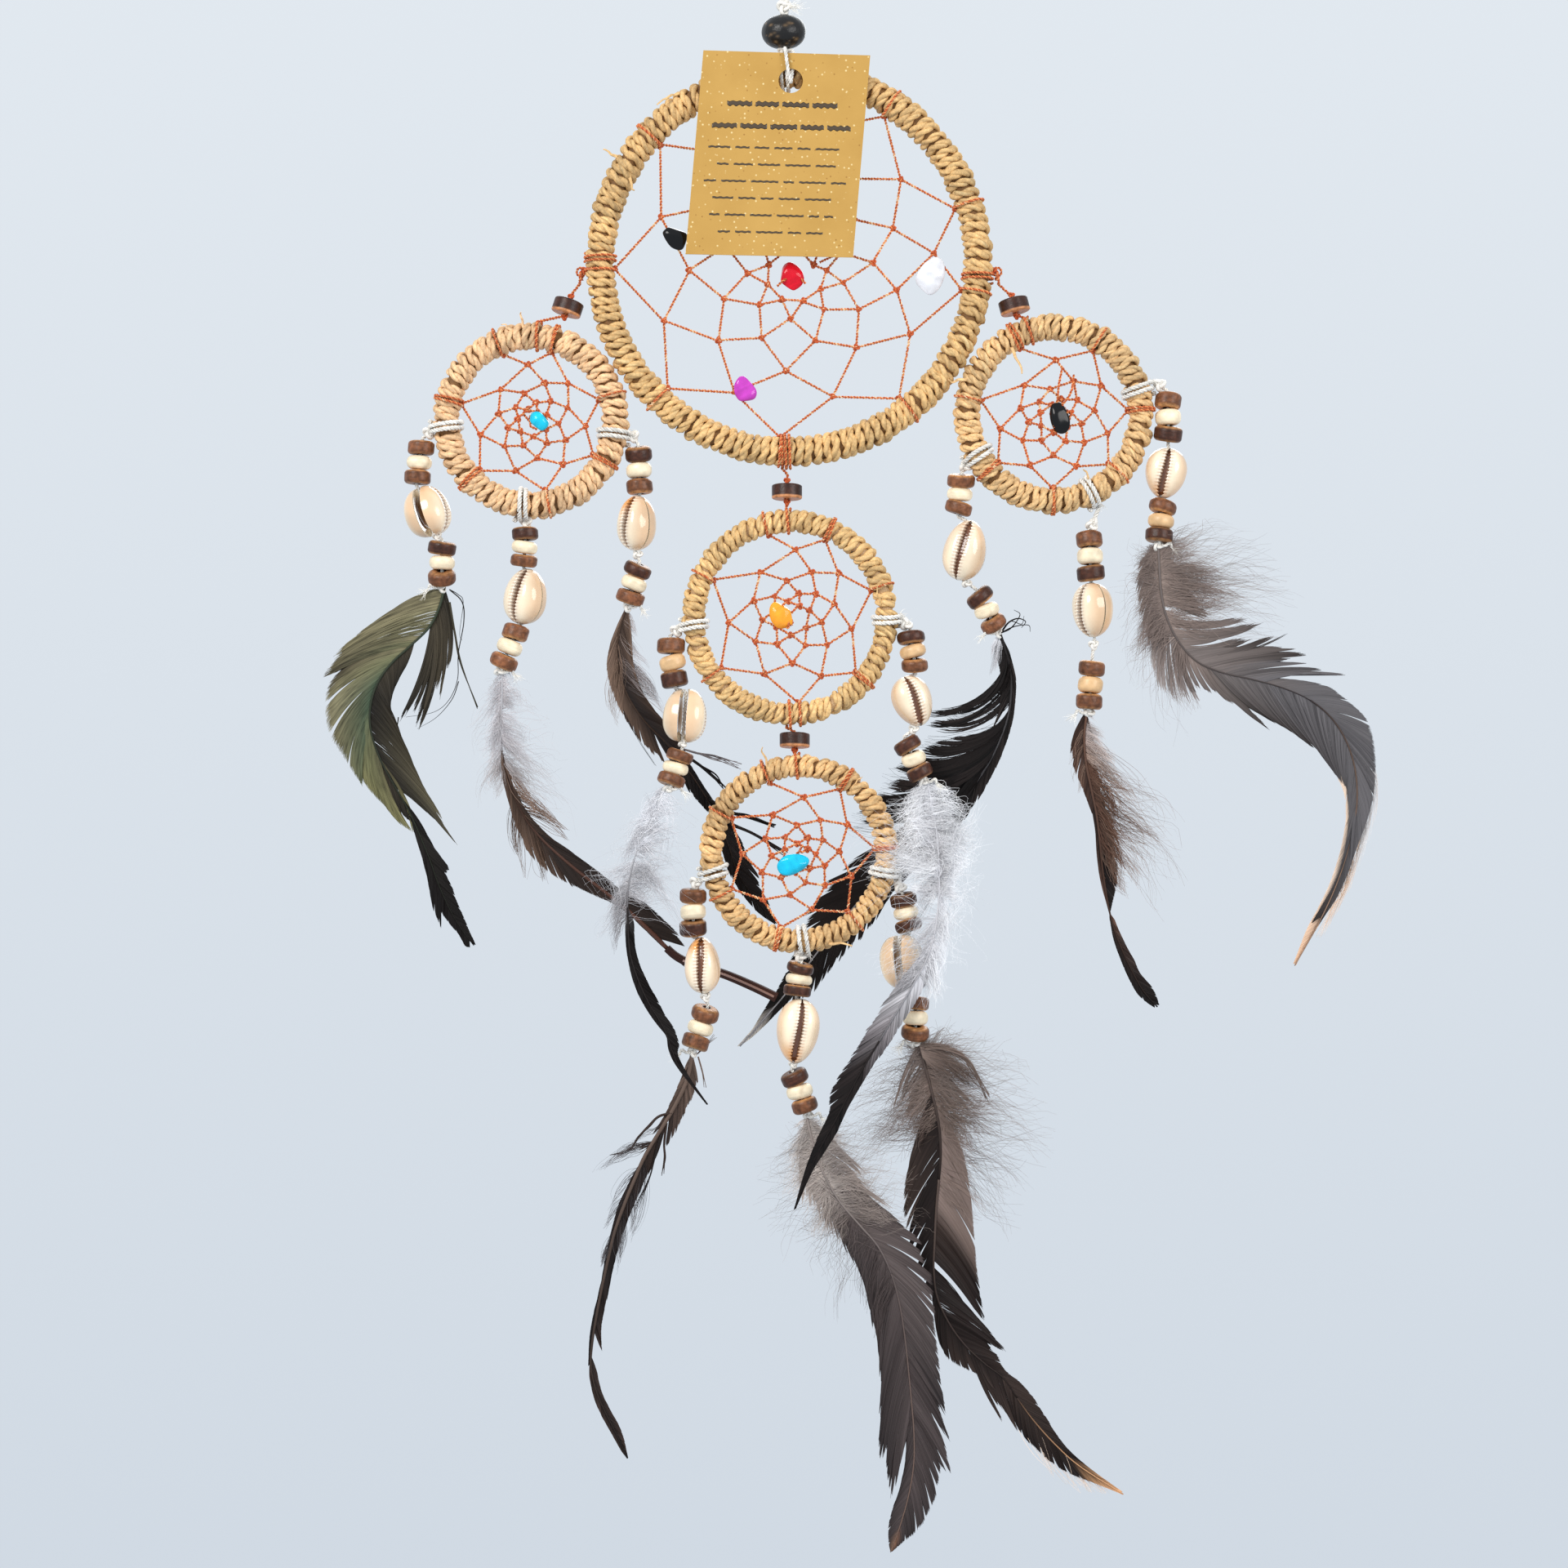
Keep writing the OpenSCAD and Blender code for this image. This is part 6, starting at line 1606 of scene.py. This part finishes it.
# bottom right: brown-grey fluff, a vane dark on the left and lighter on the right, a deep slit,
# and a twisted tail with a tan tip
f = Feather("bottom_right", (0, 2, 4, 6, 8, 9, 9, 9, 9, 9, 9, 10, 11, 12, 13, 14),
            [(53, -457.6), (55.6, -467), (58.2, -477), (60.6, -487.6), (61.6, -499), (61, -511),
             (60, -523), (59.4, -535), (59, -546.6), (60.2, -557), (64.6, -567), (71, -576), (79, -583.6),
             (86.6, -589.6), (92, -597.6), (98.6, -606.6), (107, -616), (117, -625), (134, -636)])
V1, V2, V3 = srgb(58, 46, 41), srgb(122, 105, 98), srgb(30, 22, 20)
TAN = srgb(214, 162, 118)
f.shaft(0.6, 0.5, srgb(96, 82, 76), V3, 0, 5)
f.shaft(0.5, 0.25, srgb(84, 70, 64), V3, 5, 14)
f.shaft(0.3, 0.2, V1, TAN, 14, 18)
f.lobe(2.6, 5.0, [(55, -494), (51, -500.6), (48.4, -508), (47, -516), (47.6, -524), (49, -529.6)],
       (0, V3, V1), (1, V3, V1), bend=9, clump=(3, 8), pull=0.5, ragged=0.04)
f.lobe(4.4, 9.0, [(49.6, -529), (50, -536), (52.6, -544), (55.6, -551), (58.6, -558)], (0, V3, V3),
       (1, V3, V3), bend=7, clump=(3, 6), pull=0.7, ragged=0.06)
f.lobe(2.8, 8.7, [(66.6, -492), (70.6, -501), (72.8, -511), (74.2, -523), (75.2, -535), (76, -546),
                  (77.4, -556), (79, -566.4), (75.6, -563)], (0, V2, V2), (0.5, V2, V2),
       (0.66, V2, srgb(100, 84, 77)), (0.78, V1, V3), (1, V3, V3), bend=8, clump=(9, 22), pull=0.25,
       ragged=0.02, noise=0.06)
f.lobe(8.9, 10.2, [(72, -563), (78, -568.6), (81, -571.6), (84.8, -577), (80.6, -576)], (0, V3, V3),
       (1, V3, V3), bend=7, clump=(3, 6), pull=0.7, ragged=0.04)
f.lobe(10.0, 13.2, [(80.6, -575.6), (83.6, -580), (86.4, -585), (89, -588), (92.6, -590.6)], (0, V3, V3),
       (1, V3, V1), bend=5, clump=(4, 8), pull=0.5, ragged=0.03)
f.lobe(8.4, 12.2, [(58.8, -560), (59.8, -569), (62, -577.6), (66.4, -583), (71.6, -586), (76.4, -588.4)],
       (0, V3, V3), (1, V3, V1), bend=8, clump=(4, 9), pull=0.4, ragged=0.03)
f.lobe(11.4, 13.4, [(77, -588.6), (81, -591.6), (84, -596), (84.4, -604), (86.6, -602), (92.6, -611),
                    (88, -603)], (0, V3, V1), (1, V3, V1), bend=6, clump=(2, 4), pull=0.85, ragged=0.06)
f.lobe(13.0, 18.0, [(90, -601), (92, -609), (98, -617), (105.6, -623.6), (113, -627.8), (122, -631.4),
                    (134.4, -636.4)], (0, V1, V3), (0.7, V3, V3), (0.85, V3, TAN), (1, TAN, TAN), bend=5,
       clump=(3, 8), pull=0.5, ragged=0.03)
f.lobe(13.0, 18.0, [(92.6, -590.6), (97.4, -596), (102, -603), (107, -611), (113, -618.8), (122, -626.6),
                    (134, -635.4)], (0, V1, V1), (0.7, V3, V3), (0.85, V3, TAN), (1, TAN, TAN), bend=5,
       clump=(4, 9), pull=0.4, ragged=0.02)
f.fluff(13.6, 17.2, [(106, -628), (113, -632.6), (121, -635), (130, -636.8)], 50, (0, PEACH, PEACH),
        (1, TAN, PEACH), curl=0.3, width=0.18, reach=(0.8, 1.08), bend=5, back=1.8, depth=0.4, bunch=6)
P1, P2 = srgb(136, 118, 109), srgb(114, 98, 90)
f.fluff(0.0, 3.2, [(46, -459), (44, -466), (41, -474), (36, -481), (31, -487), (34, -495), (43, -499)],
        1100, (0, P1, srgb(150, 138, 132)), (1, P2, P2), curl=3.4, width=0.12, reach=(0.2, 1.05), skew=1.3,
        depth=4)
f.fluff(0.0, 3.2, [(60, -453), (70, -452), (75, -459), (80, -470), (84, -480), (93, -489), (96, -496),
                   (88, -502), (80, -504)], 1350, (0, P1, srgb(150, 138, 132)), (1, P2, P2), curl=3.4,
        width=0.12, reach=(0.15, 1.05), skew=1.4, depth=4)
f.wisps(0.0, 4.8, [(62, -452), (80, -458), (94, -476), (98, -496), (90, -510), (86, -530)], 300,
        (0, P2, P1), (1, V1, P2))
f.wisps(0.0, 3.6, [(46, -458), (34, -470), (28, -486), (34, -502)], 190, (0, P2, P1), (1, V1, P2))
f.lobe(0.0, 3.0, [(48, -466), (46, -475), (46, -484), (49, -492)], (0, P1, P2), (1, P2, P1), bend=8,
       clump=(2, 5), pull=0.7, ragged=0.16, bare=0.35, coats=1, back=0.6)
f.lobe(0.0, 3.0, [(64, -462), (69, -472), (71, -482), (72, -491)], (0, P1, P2), (1, P2, P1), bend=8,
       clump=(2, 5), pull=0.7, ragged=0.16, bare=0.35, coats=1, back=0.6)
f.strand([(55, -459), (62, -458.6), (69, -461), (74, -466), (80, -478)], 0.6, P2, -2, 7, 0.9)
f.fluff(0.0, 0.5, [(70, -458), (76, -466), (81, -478)], 420, (0, P1, P2), (1, P1, V1), curl=1.4,
        width=0.13, reach=(0.3, 1.02), back=-2)
f.fluff(3.0, 5.4, [(74, -500), (78, -512), (81, -525), (80, -533)], 200, (0, P2, P1), (1, P2, P1),
        curl=1.2, width=0.12, reach=(0.5, 1.08))
f.build()


# ---------------------------------------------------------------- light and background

scene = bpy.context.scene
scene.view_settings.view_transform = "Standard"
scene.view_settings.look = "None"
scene.world = bpy.data.worlds.new("sky")
tree = Nodes(scene.world)
split = tree.new("SeparateXYZ", Vector=tree.place("Generated"))
height = tree.new("MapRange", From_Min=-0.22, From_Max=0.22, Value=split.outputs["Z"])
sky = tree.mix(height.outputs["Result"], (*srgb(208, 217, 227), 1), (*srgb(226, 233, 240), 1))
tree.set(tree.nodes["Background"], {"Color": sky})


def lamp(name, place, target, size, power, colour):
    """A round soft lamp at place, aimed at target."""
    data = bpy.data.lights.new(name, "AREA")
    data.shape = "DISK"
    data.size = size
    data.energy = power
    data.color = colour
    o = bpy.data.objects.new(name, data)
    scene.collection.objects.link(o)
    o.location = place
    o.rotation_euler = (Vector(target) - Vector(place)).to_track_quat("-Z", "Y").to_euler()


lamp("key", (-0.75, -1.05, 0.35), (0, 0, -0.3), 0.7, 13, (1.0, 0.97, 0.93))
lamp("fill", (0.95, -0.95, 0.05), (0, 0, -0.35), 0.8, 8, (1.0, 0.98, 0.96))
lamp("back", (0.2, 0.9, 0.3), (0, 0, -0.3), 0.8, 5, (0.95, 0.98, 1.0))
